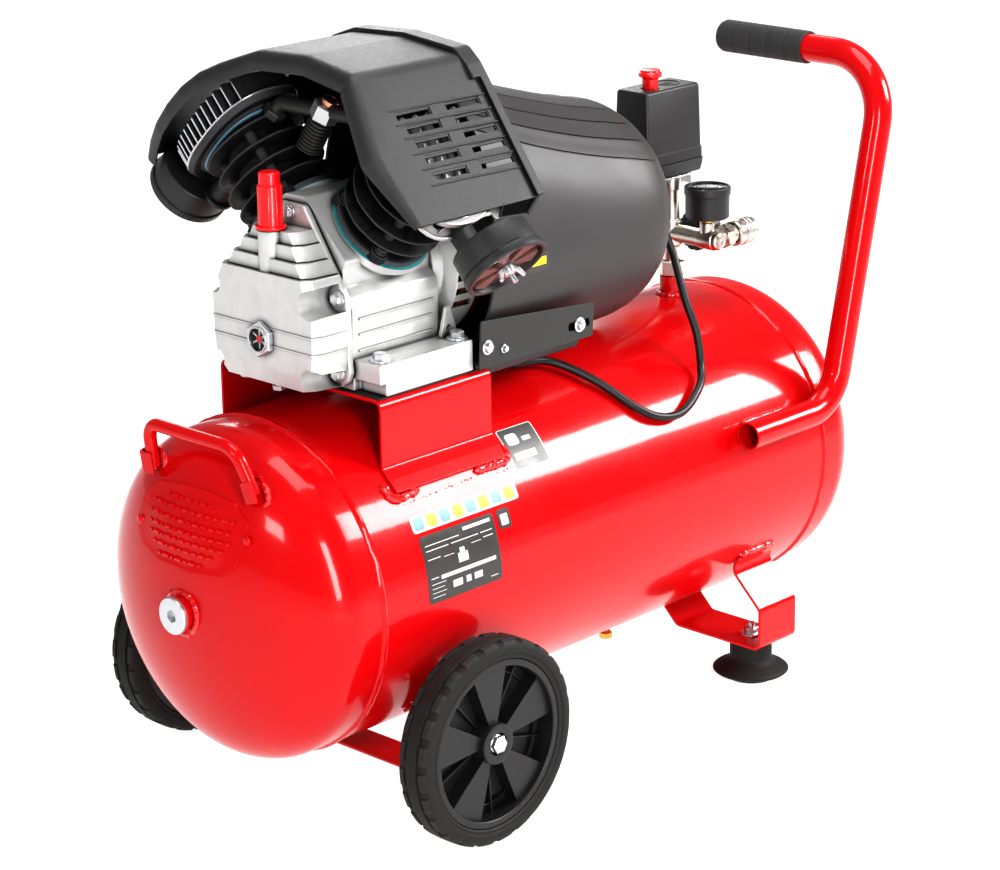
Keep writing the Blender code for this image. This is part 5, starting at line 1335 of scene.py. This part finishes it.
def build_filter(name, x, up, down, height, face, mats):
    """A round filter can: a lipped lid with a dished, spoked intake, and a wing nut on its stud."""
    radius = 0.0375
    place = along(CRANK + X_AXIS * x + up * height, down)
    port = along(CRANK + X_AXIS * x + up * PORT_UP, down)
    start = face - 0.03
    can = soft([(start, 0.0), (start, radius - 0.0036), (start + 0.0014, radius - 0.0022),
        (face - 0.009, radius - 0.001), (face - 0.0086, radius - 0.0018), (face - 0.0078, radius - 0.0018),
        (face - 0.0074, radius), (face - 0.001, radius), (face, radius - 0.001), (face, radius - 0.004),
        (face - 0.006, radius - 0.005), (face - 0.006, 0.0)], 0.0008, 3)
    first_face = len(can) - 4
    piece(name + "_filter_can", turned(can, 96, finishes=lambda row: 1 if row >= first_face else 0),
        [mats["plastic"], mats["filter_face"]], nodes=[name + "_air_filter"], place=place)
    neck = lathe([(0.0443, 0.0), (0.0443, 0.0112), (start - 0.004, 0.0112), (start - 0.003, 0.015),
        (start + 0.001, 0.015), (start + 0.001, 0.0)], 0.0006, 40)
    piece(name + "_filter_neck", neck, mats["plastic"], place=port)
    spokes = []
    for k in range(6):
        turn = spin(math.radians(60 * k + 12))
        wedge = [(0.008, -0.002), (0.0305, -0.0085), (0.0318, 0.0), (0.0305, 0.0085), (0.008, 0.002)]
        spokes.append(moved(prism(wedge, face - 0.0062, face - 0.003, "z"), turn))
    spokes.append(turned([(face - 0.0062, 0.0), (face - 0.0062, 0.0105), (face - 0.0024, 0.009),
        (face - 0.0024, 0.0)], 40))
    piece(name + "_filter_grille", join(spokes), mats["filter_face"], place=place, bevel=0.0005)
    nut_z = face - 0.0024
    hub = lathe([(nut_z, 0.0), (nut_z, 0.0062), (nut_z + 0.007, 0.005), (nut_z + 0.007, 0.0)], 0.0008, 32)
    stud = rod(0.0024, nut_z, nut_z + 0.015, 20)
    shapes = [hub, stud]
    for side in (-1, 1):
        wing = [(side * 0.0035, nut_z + 0.0012), (side * 0.0075, nut_z + 0.0042),
            (side * 0.0118, nut_z + 0.011), (side * 0.0132, nut_z + 0.0118), (side * 0.015, nut_z + 0.01),
            (side * 0.0128, nut_z + 0.0032), (side * 0.006, nut_z - 0.0002)]
        if side < 0:
            wing = wing[::-1]
        shapes.append(prism(soft(wing, 0.0014, 2, closed=True), -0.0012, 0.0012, "y"))
    piece(name + "_wing_screw", join(shapes), mats["zinc"], name + "_wing_nut", [name + "_wing_nut"],
        place=place, bevel=0.0004)


# ---------------------------------------------------------------- hood, cowl and its plate
HOOD_LINE = [
    # (y, z, front x) round the outside of the hood, from its near lower edge to its far one
    (-0.147, 0.541, -0.24),
    (-0.109, 0.594, -0.254),
    (-0.0665, 0.6542, -0.2375),
    (0.0, 0.662, -0.2277),
    (0.06, 0.6595, -0.2277),
    (0.078, 0.653, -0.234),
    (0.1, 0.645, -0.239),
    (0.124, 0.6345, -0.242),
    (0.147, 0.62, -0.242),
    (0.168, 0.602, -0.241),
    (0.187, 0.583, -0.238),
    (0.202, 0.564, -0.233),
    (0.211, 0.548, -0.229),
]
HOOD_BACK = -0.098
LOUVRE_TOP = Vector((0.0, -0.073, 0.645))
LOUVRE_DOWN = Vector((0.0, -0.074, -0.104)).normalized()
LOUVRE_OUT = LOUVRE_DOWN.cross(X_AXIS)
LOUVRE_ROWS = (
    # (down the panel, the two slots' middles)
    (0.0325, -0.188, -0.1297),
    (0.046, -0.1837, -0.1265),
    (0.0595, -0.1813, -0.1247),
    (0.0742, -0.179, -0.1235),
    (0.09, -0.179, -0.1225),
)
LOUVRE_RIDGES = ((0.0258, -0.2134), (0.0392, -0.2121), (0.0522, -0.2093), (0.0668, -0.2086),
    (0.0812, -0.2068), (0.0965, -0.2055))


def on_panel(down, x, out=0.0):
    """A point on the hood's near panel, so far down from its upper edge and proud of it by out."""
    return LOUVRE_TOP + LOUVRE_DOWN * down + X_AXIS * x + LOUVRE_OUT * out


def build_hood(mats):
    """The moulded hood: one sheet bent over both heads, its front edge rolled inwards to a soft nose."""
    line = soft([Vector(p) for p in HOOD_LINE], 0.019, 7)
    wall = 0.003
    rings = []
    for i, (y, z, front) in enumerate(line):
        a, b = line[max(i - 1, 0)], line[min(i + 1, len(line) - 1)]
        along_edge = Vector((0.0, b[0] - a[0], b[1] - a[1]))
        out = Vector((0.0, -along_edge.z, along_edge.y)).normalized()
        at = Vector((0.0, y, z))
        reached = (at - Vector((0.0, *line[0][:2]))).length
        roll = 0.0045 + 0.0065 * min(reached / 0.03, 1.0)
        lip = 0.006 * roll / 0.011
        section = [(HOOD_BACK, 0.0), (-0.15, 0.0), (-0.195, 0.0), (front + roll, 0.0)]
        for k in range(1, 7):
            turn = math.radians(15 * k)
            section.append((front + roll - roll * math.sin(turn), roll * (1 - math.cos(turn))))
        section += [(front + 0.0002, roll + lip * 0.7), (front + 0.001, roll + lip),
            (front + 0.0028, roll + lip * 0.9)]
        for k in range(6, 0, -1):
            turn = math.radians(15 * k)
            inner = roll - wall
            section.append((front + roll - inner * math.sin(turn), wall + inner * (1 - math.cos(turn))))
        section += [(front + roll, wall), (-0.195, wall), (-0.15, wall), (HOOD_BACK, wall)]
        rings.append([at + X_AXIS * x - out * depth for x, depth in section])
    hood = piece("hood_moulding", loft(rings), mats["hood"], nodes=["pump_shroud"], bevel=0.0006, sharp=40)
    # A flat near-black sheet across the inside of the hood's back is painted shade.
    inside = [(y * 0.975, z - 0.005) for y, z, front in HOOD_LINE[2:10]]
    piece("hood_inner_shade_sheet", prism(inside + [(0.15, 0.565), (0.06, 0.575), (-0.06, 0.58)],
        -0.106, -0.104), mats["dark"])
    for down, *middles in LOUVRE_ROWS:
        for x in middles:
            middle = on_panel(down, x)
            slot = box(-0.019, 0.019, -0.0024, 0.0024, -0.012, 0.012)
            carve(hood, slot, along(middle, LOUVRE_OUT))
            recess = box(-0.0204, 0.0204, -0.0036, 0.0046, -0.0009, 0.012)
            carve(hood, recess, along(middle, LOUVRE_OUT))
    lines = []
    for down, x in LOUVRE_RIDGES:
        path = [on_panel(down, x, -0.0004), on_panel(down + 0.0008, x + 0.05, 0.0003),
            on_panel(down + 0.0022, -0.1, 0.0003)]
        lines.append(swept(path, 0.0009, 12))
    piece("hood_panel_ridges", join(lines), mats["hood"])

    top = [(-0.082, 0.635), (-0.074, 0.6458), (-0.061, 0.6572), (0.0, 0.6634), (0.061, 0.6608),
        (0.079, 0.6545), (0.09, 0.6505)]
    piece("hood_band_top", prism(strip(soft(top, 0.012, 6), 0.0042), -0.108, -0.0902),
        mats["hood"], bevel=0.0012, steps=3)
    near_side = [(-0.1478, 0.5424), (-0.11, 0.5952), (-0.0815, 0.636)]
    far_side = [(y, z + 0.0012) for y, z, front in HOOD_LINE[5:]]
    for name, path in (("near", near_side), ("far", far_side)):
        piece(f"hood_band_{name}", prism(strip(soft(path, 0.012, 4), 0.0036), -0.0992, -0.0902),
            mats["hood"], bevel=0.0008, steps=3)
        # A thin near-black line along each band's foot is painted shade in its groove.
        line = [Vector((-0.0996, y, z)) + LOUVRE_OUT * (0.0006 if name == "near" else 0.0) for y, z in path]
        piece(f"hood_groove_shade_{name}", swept(line, 0.0007, 8), mats["dark"])
    # The lower rear corner opens under the panel, as a short duct beside the motor; its mouth is a flat
    # near-black sheet, painted shade.
    mouth = [(-0.1369, 0.5432), (-0.0985, 0.5413), (-0.1101, 0.5289), (-0.1431, 0.5315)]
    piece("hood_duct_shade_sheet", prism(mouth, -0.1455, -0.144, "y"), mats["dark"])
    sides = [swept([Vector((-0.096, -0.1462, 0.5415)), Vector((-0.109, -0.1462, 0.5285))], 0.002, 10),
        swept([Vector((-0.138, -0.1462, 0.5425)), Vector((-0.1436, -0.1462, 0.5313))], 0.0007, 8)]
    piece("hood_duct_lip", join(sides), mats["hood"])


COWL_X0 = -0.108
COWL_SHOULDER = 0.0877
COWL_END = 0.1715
COWL_R = 0.1059


def cowl_radius(x, angle, inset):
    """The cowl's radius at a station: round behind, and swept up towards the hood in front."""
    rise = max(math.sin(angle), 0.0) ** 2
    ahead = COWL_SHOULDER - x
    flare = 0.15 * (ahead + math.hypot(ahead, 0.025) - 0.025 * (ahead < 0)) * rise if ahead > -0.02 else 0.0
    if ahead >= 0:
        return COWL_R + flare - inset
    t = (x - COWL_SHOULDER) / (COWL_END - COWL_SHOULDER - inset)
    return (COWL_R - inset) * max(1.0 - t**2.57, 0.0) ** (1 / 2.57)


def build_cowl(mats):
    """The motor's moulded cowl, with fine pressed lines along its near shoulder and a grille in its end."""
    grooves = [math.radians(a) for a in (97, 111, 124, 136, 148)]
    angles = [2 * math.pi * i / 88 for i in range(88)]
    for middle in grooves:
        angles = [a for a in angles if abs(a - middle) > 0.03]
        angles += [middle + d for d in (-0.018, -0.011, -0.007, 0.007, 0.011, 0.018)]
    angles = sorted(angles)
    reach = COWL_END - COWL_SHOULDER
    stations = [COWL_X0, -0.085, -0.06, -0.03, 0.0, 0.03, 0.055, 0.075, COWL_SHOULDER]
    stations += [COWL_SHOULDER + reach * math.sin(math.radians(a))
        for a in (10, 20, 28, 36, 43, 50, 56, 61, 66, 70, 73)]
    fade = COWL_SHOULDER + 0.035

    def drift(a):
        """How far a pressed line climbs per metre ahead of the shoulder, so that the lines look level."""
        low, peak, high = (math.radians(d) for d in (97, 148, 215))
        if low < a < peak:
            return 1.8 * (a - low) / (peak - low)
        return 1.8 * (high - a) / (high - peak) if peak <= a < high else 0.0

    def ring(x, inset):
        points = []
        for a in angles:
            b = a - drift(a) * max(fade - x, 0.0)
            radius = cowl_radius(x, b, inset)
            nearest = min(abs(a - g) for g in grooves)
            if not inset and x < fade and nearest < 0.009:
                radius -= 0.0011
            elif not inset and x < fade and nearest < 0.02:
                radius += 0.0005
            points.append((x, radius * math.cos(b), CRANK_Z + radius * math.sin(b)))
        return points

    outside = [ring(x, 0.0) for x in stations]
    inside = [ring(min(x, COWL_END - 0.0045), 0.0026) for x in reversed(stations)]
    piece("cowl_moulding", loft(outside + inside, closed=True), mats["cowl"], nodes=["motor_cowl"], sharp=40)
    end = stations[-1]
    rim = cowl_radius(end, 0.0, 0.0026)
    slats = []
    for k in range(-5, 6):
        z = k * 0.0085
        half = math.sqrt(max((rim - 0.0005) ** 2 - z * z, 0.0))
        if half > 0.006:
            middle = CRANK_Z + z
            slats.append(box(end - 0.003, end - 0.0008, -half, half, middle - 0.0016, middle + 0.0016))
    slats.append(box(end - 0.0036, end - 0.0014, -0.002, 0.002, CRANK_Z - rim + 0.001, CRANK_Z + rim - 0.001))
    piece("cowl_grille", join(slats), mats["cowl"], bevel=0.0004)
    sticker = []
    for lift, x0, x1, z0, z1 in ((0.0002, -0.08, -0.0405, 0.46, 0.4775),
            (0.0006, -0.068, -0.044, 0.4655, 0.4725)):
        low, high = (math.asin((z - CRANK_Z) / COWL_R) for z in (z0, z1))
        arc = [math.pi - (low + (high - low) * i / 6) for i in range(7)]
        rings = []
        for x in (x0, x1):
            outer, inner = ([(x, r * math.cos(a), CRANK_Z + r * math.sin(a)) for a in arc]
                for r in (COWL_R + lift + 0.0003, COWL_R + lift))
            rings.append(outer + inner[::-1])
        sticker.append(loft(rings))
    piece("cowl_label", sticker[0], mats["label_grey"])
    piece("cowl_label_field", sticker[1], mats["yellow"])


def build_cowl_plate(mats):
    """The bolted side plate under the cowl, with the tray that the cowl stands in."""
    outline = soft([(-0.127, 0.386), (0.019, 0.386), (0.0215, 0.4165),
        (-0.124, 0.429)], 0.0012, 3, closed=True)
    plate = piece("cowl_side_plate", prism(outline, -0.1042, -0.1022, "y"), mats["black_paint"],
        nodes=["cowl_plate"], bevel=0.0004)
    slot = prism(soft([(-0.013, 0.396), (0.015, 0.396), (0.015, 0.4035), (-0.013, 0.4035)], 0.003, 4,
        closed=True), -0.12, -0.08, "y")
    carve(plate, slot)
    bolts = []
    for x, z, radius in ((0.0015, 0.3998, 0.0062), (-0.117, 0.4045, 0.006), (-0.0965, 0.399, 0.0036)):
        bolts.append(moved(lathe([(0.0, 0.0), (0.0, radius * 1.1), (0.001, radius * 1.1),
            (0.0012, radius * 0.8), (0.004, radius * 0.7), (0.0046, radius * 0.4), (0.0046, 0.0)], 0.0005,
            32), shift(x, -0.1042, z) @ Matrix.Rotation(math.radians(90), 4, "X")))
    piece("cowl_plate_bolts", join(bolts), mats["zinc"])
    # A near-black sheet behind the plate's slot is painted shade.
    slot_shade_sheet = box(-0.018, 0.019, -0.1018, -0.1, 0.39, 0.41)
    piece("cowl_plate_slot_shade", slot_shade_sheet, mats["dark"])
    tray = soft([(-0.098, 0.39), (-0.094, 0.376), (-0.082, 0.3725), (-0.056, 0.3725),
        (-0.056, 0.39)], 0.004, 3, closed=True)
    piece("cowl_tray", prism(tray, -0.124, 0.01), mats["plastic"], bevel=0.0012, steps=3)


# ---------------------------------------------------------------- switch and outlet
def rounded_box(x, y, levels, corner=0.0034):
    """A box with rounded corners, lofted through (z, half x, half y) levels about (x, y)."""
    rings = []
    for z, hx, hy in levels:
        ring = soft(square(hx, hy), corner, 5, closed=True)
        rings.append([(x + p.x, y + p.y, z) for p in ring])
    return loft(rings)


def build_switch(mats):
    """The pressure switch: a lipped base, a tall grained cover with a raised ring, and its red button."""
    x, y = 0.2412, 0.01
    base = rounded_box(x, y, [(0.4791, 0.0385, 0.02), (0.4803, 0.04, 0.0215), (0.487, 0.0412, 0.0227),
        (0.4925, 0.0416, 0.0231)])
    piece("switch_foot", base, mats["plastic"], nodes=["switch_base"], bevel=0.0005)
    split = 0.4928
    cover = rounded_box(x, y, [(split, 0.0408, 0.0224), (0.503, 0.0406, 0.0222), (0.5034, 0.0398, 0.0214),
        (0.5618, 0.0388, 0.0194), (0.5638, 0.0382, 0.0188), (0.5648, 0.037, 0.0176), (0.565, 0.035, 0.0156)])
    shell = piece("switch_hood", cover, mats["plastic"], nodes=["switch_cover"], bevel=0.0004)
    carve(shell, rod(0.0088, 0.556, 0.57, 40), Matrix.Translation(BUTTON))
    ring = turned([(0.5646, 0.0105), (0.5646, 0.0122), (0.5658, 0.012), (0.5658, 0.0107)], 56, closed=True)
    piece("switch_relief", ring, mats["plastic"], place=shift(0.256, 0.011, 0.0), bevel=0.0002)
    marks = [moved(box(-0.0045, 0.0045, -0.0006, 0.0006, 0.5646, 0.5655), shift(0.256, 0.011 + d, 0.0))
        for d in (-0.003, 0.0, 0.003)]
    piece("switch_relief_bars", join(marks), mats["plastic"])

    cap = soft([(0.541, 0.0), (0.541, 0.0076), (0.5745, 0.0076), (0.576, 0.009), (0.5768, 0.0112),
        (0.58, 0.0112), (0.5812, 0.0095), (0.5832, 0.0092), (0.5836, 0.0)], 0.0008, 3)
    piece("switch_button", turned(cap, 64), mats["red_plastic"], "switch_knob", ["switch_knob"],
        place=Matrix.Translation(BUTTON))
    screws = []
    for dx, dy in ((-0.03, -0.013), (0.03, -0.013), (0.03, 0.013), (-0.03, 0.013)):
        screws.append(moved(rod(0.0034, 0.4715, 0.4792, 24), shift(x + dx, y + dy, 0.0)))
        screws.append(moved(prism(polygon(6, 0.0048), 0.4735, 0.4765, "z"), shift(x + dx, y + dy, 0.0)))
    piece("switch_posts", join(screws), mats["zinc"], bevel=0.0003)
    clamp = prism(strip(soft([(x - 0.016, 0.469), (x - 0.016, 0.4778), (x + 0.024, 0.4778),
        (x + 0.024, 0.469)], 0.002, 2), 0.0018), y - 0.0215, y - 0.007, "y")
    piece("switch_clamp", clamp, mats["zinc"], bevel=0.0003)


def build_outlet(mats):
    """Post, cross bar, gauge riser and coupler branch, plated, with hexagons where a spanner turns them."""
    upright = shift(OUTLET_X, 0.0, 0.0)
    socket = lathe([(0.36, 0.0072), (0.36, 0.0112), (0.3786, 0.011),
        (0.3786, 0.0072)], 0.0006, 56, closed=True)
    piece("tank_fitting", socket, mats["red_paint"], nodes=["outlet_socket"], place=upright)
    nut = hexagon(0.013, [(0.3792, 0.9), (0.3802, 1.0), (0.393, 1.0), (0.3942, 0.9)])
    post = lathe([(0.3935, 0.0), (0.3935, 0.0088), (0.408, 0.0088), (0.41, 0.0104), (0.433, 0.0104),
        (0.435, 0.008), (0.464, 0.008), (0.4645, 0.0105), (0.4788, 0.0105), (0.4788, 0.0)], 0.0006, 56)
    bar_place = along((0.0, 0.0, BAR_Z), Y_AXIS)
    bar = lathe([(-0.062, 0.0), (-0.062, 0.0072), (-0.0605, 0.0088), (-0.0565, 0.0088), (-0.0555, 0.0098),
        (-0.0385, 0.0098), (-0.0375, 0.0088), (0.005, 0.0088), (0.006, 0.0098), (0.016, 0.0098),
        (0.016, 0.0)], 0.0006, 56)
    riser = lathe([(0.4215, 0.0), (0.4215, 0.0074), (0.4375, 0.0074), (0.439, 0.0064), (0.4425, 0.0064),
        (0.4425, 0.0)], 0.0005, 48)
    branch = lathe([(0.0, 0.0), (0.0, 0.0082), (0.011, 0.0082), (0.0122, 0.0074), (0.0165, 0.0074),
        (0.0165, 0.0)], 0.0005, 48)
    shapes = [nut, post, moved(bar, bar_place), moved(riser, shift(0.0, -0.045, 0.0)),
        moved(branch, along((0.0, -0.05, BAR_Z), X_AXIS))]
    piece("outlet_casting", join(shapes), mats["nickel"], nodes=["outlet_manifold"],
        place=upright, bevel=0.0003)
    end = along((OUTLET_X, -0.0622, BAR_Z), -Y_AXIS)
    plug = lathe([(0.0, 0.0), (0.0, 0.0062), (0.001, 0.0062), (0.001, 0.003), (0.0002, 0.0)], 0.0003, 40)
    piece("outlet_end_plug", plug, mats["nickel"], place=end)


def build_gauge(mats):
    """The pressure gauge: case, dial with plain numbers, hand and glass."""
    place = shift(OUTLET_X, -0.045, 0.0)
    case = soft([(0.443, 0.0), (0.443, 0.0196), (0.4442, 0.021), (0.4655, 0.0212), (0.4662, 0.0222),
        (0.4728, 0.0223), (0.4736, 0.0217), (0.4736, 0.02), (0.4728, 0.0196),
        (0.4674, 0.0196), (0.4674, 0.0)], 0.0006)
    piece("gauge_can", turned(case, 80), mats["plastic"], nodes=["gauge_body"], place=place)
    neck = lathe([(0.438, 0.0), (0.438, 0.006), (0.4396, 0.0072), (0.4418, 0.0072), (0.443, 0.0055),
        (0.443, 0.0)], 0.0004, 40)
    piece("gauge_neck", neck, mats["brass"], place=place)
    piece("gauge_dial", turned([(0.4674, 0.0), (0.4674, 0.0195), (0.468, 0.0195), (0.468, 0.0)], 64),
        mats["dial"], place=place)
    ticks = []
    for k in range(31):
        turn = spin(math.radians(225 - 9 * k))
        start = 0.015 if k % 5 == 0 else 0.0164
        wide = 0.0004 if k % 5 == 0 else 0.00022
        ticks.append(moved(box(start, 0.0184, -wide, wide, 0.46798, 0.46818), turn))
    piece("gauge_ticks", join(ticks), mats["dark"], place=place)
    numbers = []
    for k in range(7):
        text = bpy.data.curves.new("number", "FONT")
        text.body = str(2 * k)
        text.size = 0.0042
        text.extrude = 0.00008
        text.align_x = "CENTER"
        text.align_y = "CENTER"
        holder = bpy.data.objects.new("number", text)
        show(holder)
        bpy.context.view_layer.update()
        mesh = bpy.data.meshes.new_from_object(holder)
        angle = math.radians(225 - 45 * k)
        at = shift(0.0122 * math.cos(angle), 0.0122 * math.sin(angle), 0.46806)
        facing = spin(math.radians(-46))
        shape = bmesh.new()
        shape.from_mesh(mesh)
        numbers.append(moved(shape, at @ facing))
        bpy.data.objects.remove(holder)
        bpy.data.meshes.remove(mesh)
        bpy.data.curves.remove(text)
    piece("gauge_numbers", join(numbers), mats["dark"], place=place)
    hub = lathe([(0.4684, 0.0), (0.4684, 0.0022), (0.47, 0.002), (0.4704, 0.0)], 0.0003, 32)
    hand = prism([(-0.005, -0.0009), (0.015, -0.0002), (0.015, 0.0002),
        (-0.005, 0.0009)], 0.4689, 0.4696, "z")
    piece("gauge_hand", join([hub, hand]), mats["dark"], "gauge_needle", ["gauge_needle"], place=place)
    lens = lathe([(0.4713, 0.0), (0.4713, 0.0194), (0.4722, 0.0194), (0.4728, 0.0)], 0.0004, 64)
    piece("gauge_window", lens, make_glass(), nodes=["gauge_lens"], place=place)


def build_coupler(mats):
    """The quick coupler: a nickel core and its sliding collar."""
    place = along((0.2666, -0.05, BAR_Z), X_AXIS)
    nut = hexagon(0.0124, [(0.0, 0.88), (0.0012, 1.0), (0.0074, 1.0), (0.0085, 0.88)])
    body = lathe([(0.008, 0.005), (0.008, 0.0092), (0.044, 0.0098), (0.044, 0.0058), (0.02, 0.0055),
        (0.02, 0.005)], 0.0006, 56, closed=True)
    joined = piece("coupler_core", join([nut, body]), mats["nickel"], nodes=["coupler_body"],
        place=place, bevel=0.0003)
    joined.data.set_sharp_from_angle(angle=math.radians(30))
    profile = [(0.015, 0.0101), (0.015, 0.0118), (0.0165, 0.0126), (0.024, 0.0126)]
    for z in (0.0262, 0.031, 0.0358):
        profile += [(z - 0.002, 0.0133), (z + 0.0012, 0.0133), (z + 0.0016, 0.0124)]
    profile += [(0.04, 0.013), (0.042, 0.012), (0.042, 0.0101)]
    piece("coupler_collar", lathe(profile, 0.0004, 72, steps=2, closed=True), mats["nickel"],
        "coupler_sleeve", ["coupler_sleeve"], place=place)
    bore = turned([(0.021, 0.0), (0.021, 0.0054), (0.0225, 0.0054), (0.0225, 0.0)], 32)
    piece("coupler_seal", bore, mats["dark"], place=place)
    end_ring = lathe([(0.0436, 0.006), (0.0436, 0.0092), (0.0446, 0.0088),
        (0.0446, 0.0064)], 0.0003, 48, closed=True)
    piece("coupler_mouth_ring", end_ring, mats["plastic"], place=place)


def build_regulator(mats):
    """The fluted pressure knob."""
    place = along((OUTLET_X, -0.015, BAR_Z), X_AXIS)
    knob = soft([(0.0095, 0.0), (0.0095, 0.011), (0.0145, 0.011), (0.015, 0.0186), (0.0165, 0.0195),
        (0.035, 0.0192), (0.037, 0.0175), (0.0378, 0.012), (0.038, 0.0)], 0.0008)

    def fluted(angle, z, radius):
        return radius - 0.0011 * max(math.cos(angle * 14), 0.0) if z > 0.0148 and radius > 0.015 else radius

    piece("regulator_handwheel", turned(knob, 168, vary=fluted), mats["plastic"], "regulator_knob",
        ["regulator_knob"], place=place)


def build_safety_valve(mats):
    """The brass relief valve, with a ring to pull."""
    place = along((OUTLET_X, 0.0163, BAR_Z), Y_AXIS)
    nut = hexagon(0.0088, [(0.0002, 0.9), (0.001, 1.0), (0.007, 1.0), (0.0078, 0.9)])
    barrel = lathe([(0.0075, 0.0), (0.0075, 0.0072), (0.009, 0.008), (0.024, 0.0078), (0.024, 0.003),
        (0.01, 0.003), (0.01, 0.0)], 0.0006, 48)
    piece("relief_valve", join([nut, barrel]), mats["brass"], nodes=["safety_valve"],
        place=place, bevel=0.0003)
    stem = lathe([(0.011, 0.0), (0.011, 0.0026), (0.0262, 0.0026), (0.0262, 0.005), (0.0272, 0.0052),
        (0.0285, 0.004), (0.0285, 0.0)], 0.0004, 32)
    loop = swept(ring_path((0.0, 0.0, 0.0273), X_AXIS, 0.0062, 0.98), 0.0007, 10)
    piece("relief_valve_pull", join([stem, loop]), mats["zinc"], "safety_ring",
        ["safety_valve_ring"], place=place)


def dress_inner_parts(mats):
    """The pieces inside keep their CAD shapes and take real finishes."""
    looks = {"near_piston": "steel", "far_piston": "steel", "near_con_rod": "aluminium",
        "far_con_rod": "aluminium", "crankshaft": "steel", "motor_rotor": "steel", "cooling_fan": "plastic",
        "motor_stator": "winding", "switch_contacts": "dial", "check_valve": "brass"}
    for node, look in looks.items():
        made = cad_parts[node]
        made.data.materials.clear()
        made.data.materials.append(mats[look])


# ---------------------------------------------------------------- studio
def build_studio(mats):
    """A seamless pale floor, a bright surround and soft boxes above and beside the compressor."""
    shape = bmesh.new()
    bmesh.ops.create_grid(shape, x_segments=2, y_segments=2, size=30.0)
    mesh = bpy.data.meshes.new("studio_floor")
    shape.to_mesh(mesh)
    shape.free()
    mesh.materials.append(mats["floor"])
    floor = bpy.data.objects.new("studio_floor", mesh)
    floor.location.z = -0.0004
    show(floor)

    world = bpy.data.worlds.new("studio_surround")
    world.use_nodes = True
    back = world.node_tree.nodes["Background"]
    back.inputs["Color"].default_value = (1.0, 1.0, 1.0, 1.0)
    back.inputs["Strength"].default_value = SURROUND
    bpy.context.scene.world = world
    bpy.context.scene.view_settings.view_transform = "Standard"
    bpy.context.scene.view_settings.look = "High Contrast"

    boxes = [
        # name, place, what it points at, width, height, power
        ("key_strip", (-1.05, -1.75, 0.85), (-0.2, 0.0, 0.25), 0.35, 1.2, 21.0),
        ("shoulder_box", (1.5, -1.25, 1.35), (0.0, -0.12, 0.29), 1.0, 0.62, 40.0),
        ("window_box", (-2.15, -0.18, 1.15), (-0.34, -0.08, 0.29), 0.3, 0.45, 5.0),
        ("top_box", (0.1, -0.2, 2.3), (0.0, 0.0, 0.3), 1.6, 1.0, 24.0),
        ("rear_box", (1.3, 1.5, 1.4), (0.0, 0.0, 0.35), 1.0, 1.0, 12.0),
    ]
    for name, place, aim, width, height, power in boxes:
        light = bpy.data.lights.new(name, "AREA")
        light.shape = "RECTANGLE"
        light.size = width
        light.size_y = height
        light.energy = power
        lamp = bpy.data.objects.new(name, light)
        lamp.matrix_world = along(place, Vector(place) - Vector(aim))
        show(lamp)


def main():
    """Makes the camera, the finishes, every piece and the studio, in this order."""
    place_camera()
    mats = make_finishes()
    for build in (build_cable, build_tank, build_front_plug, build_nameplate, build_labels, build_saddle,
            build_brackets, build_feet, build_handles, build_welds, build_wheels, build_drain, build_cover,
            build_case, build_end_bell, build_breather, build_sight_glass):
        build(mats)
    build_cylinder("near", NEAR_CYL_X, NEAR_UP, mats)
    build_cylinder("far", FAR_CYL_X, FAR_UP, mats)
    for build in (build_near_head, build_far_head, build_valve_nut, build_bridge):
        build(mats)
    build_filter("near", NEAR_CYL_X, NEAR_UP, NEAR_DOWN, 0.158, 0.1142, mats)
    build_filter("far", FAR_CYL_X, FAR_UP, FAR_DOWN, 0.166, 0.1062, mats)
    for build in (build_hood, build_cowl, build_cowl_plate, build_switch, build_outlet, build_gauge,
            build_coupler, build_regulator, build_safety_valve, dress_inner_parts, build_studio):
        build(mats)


main()
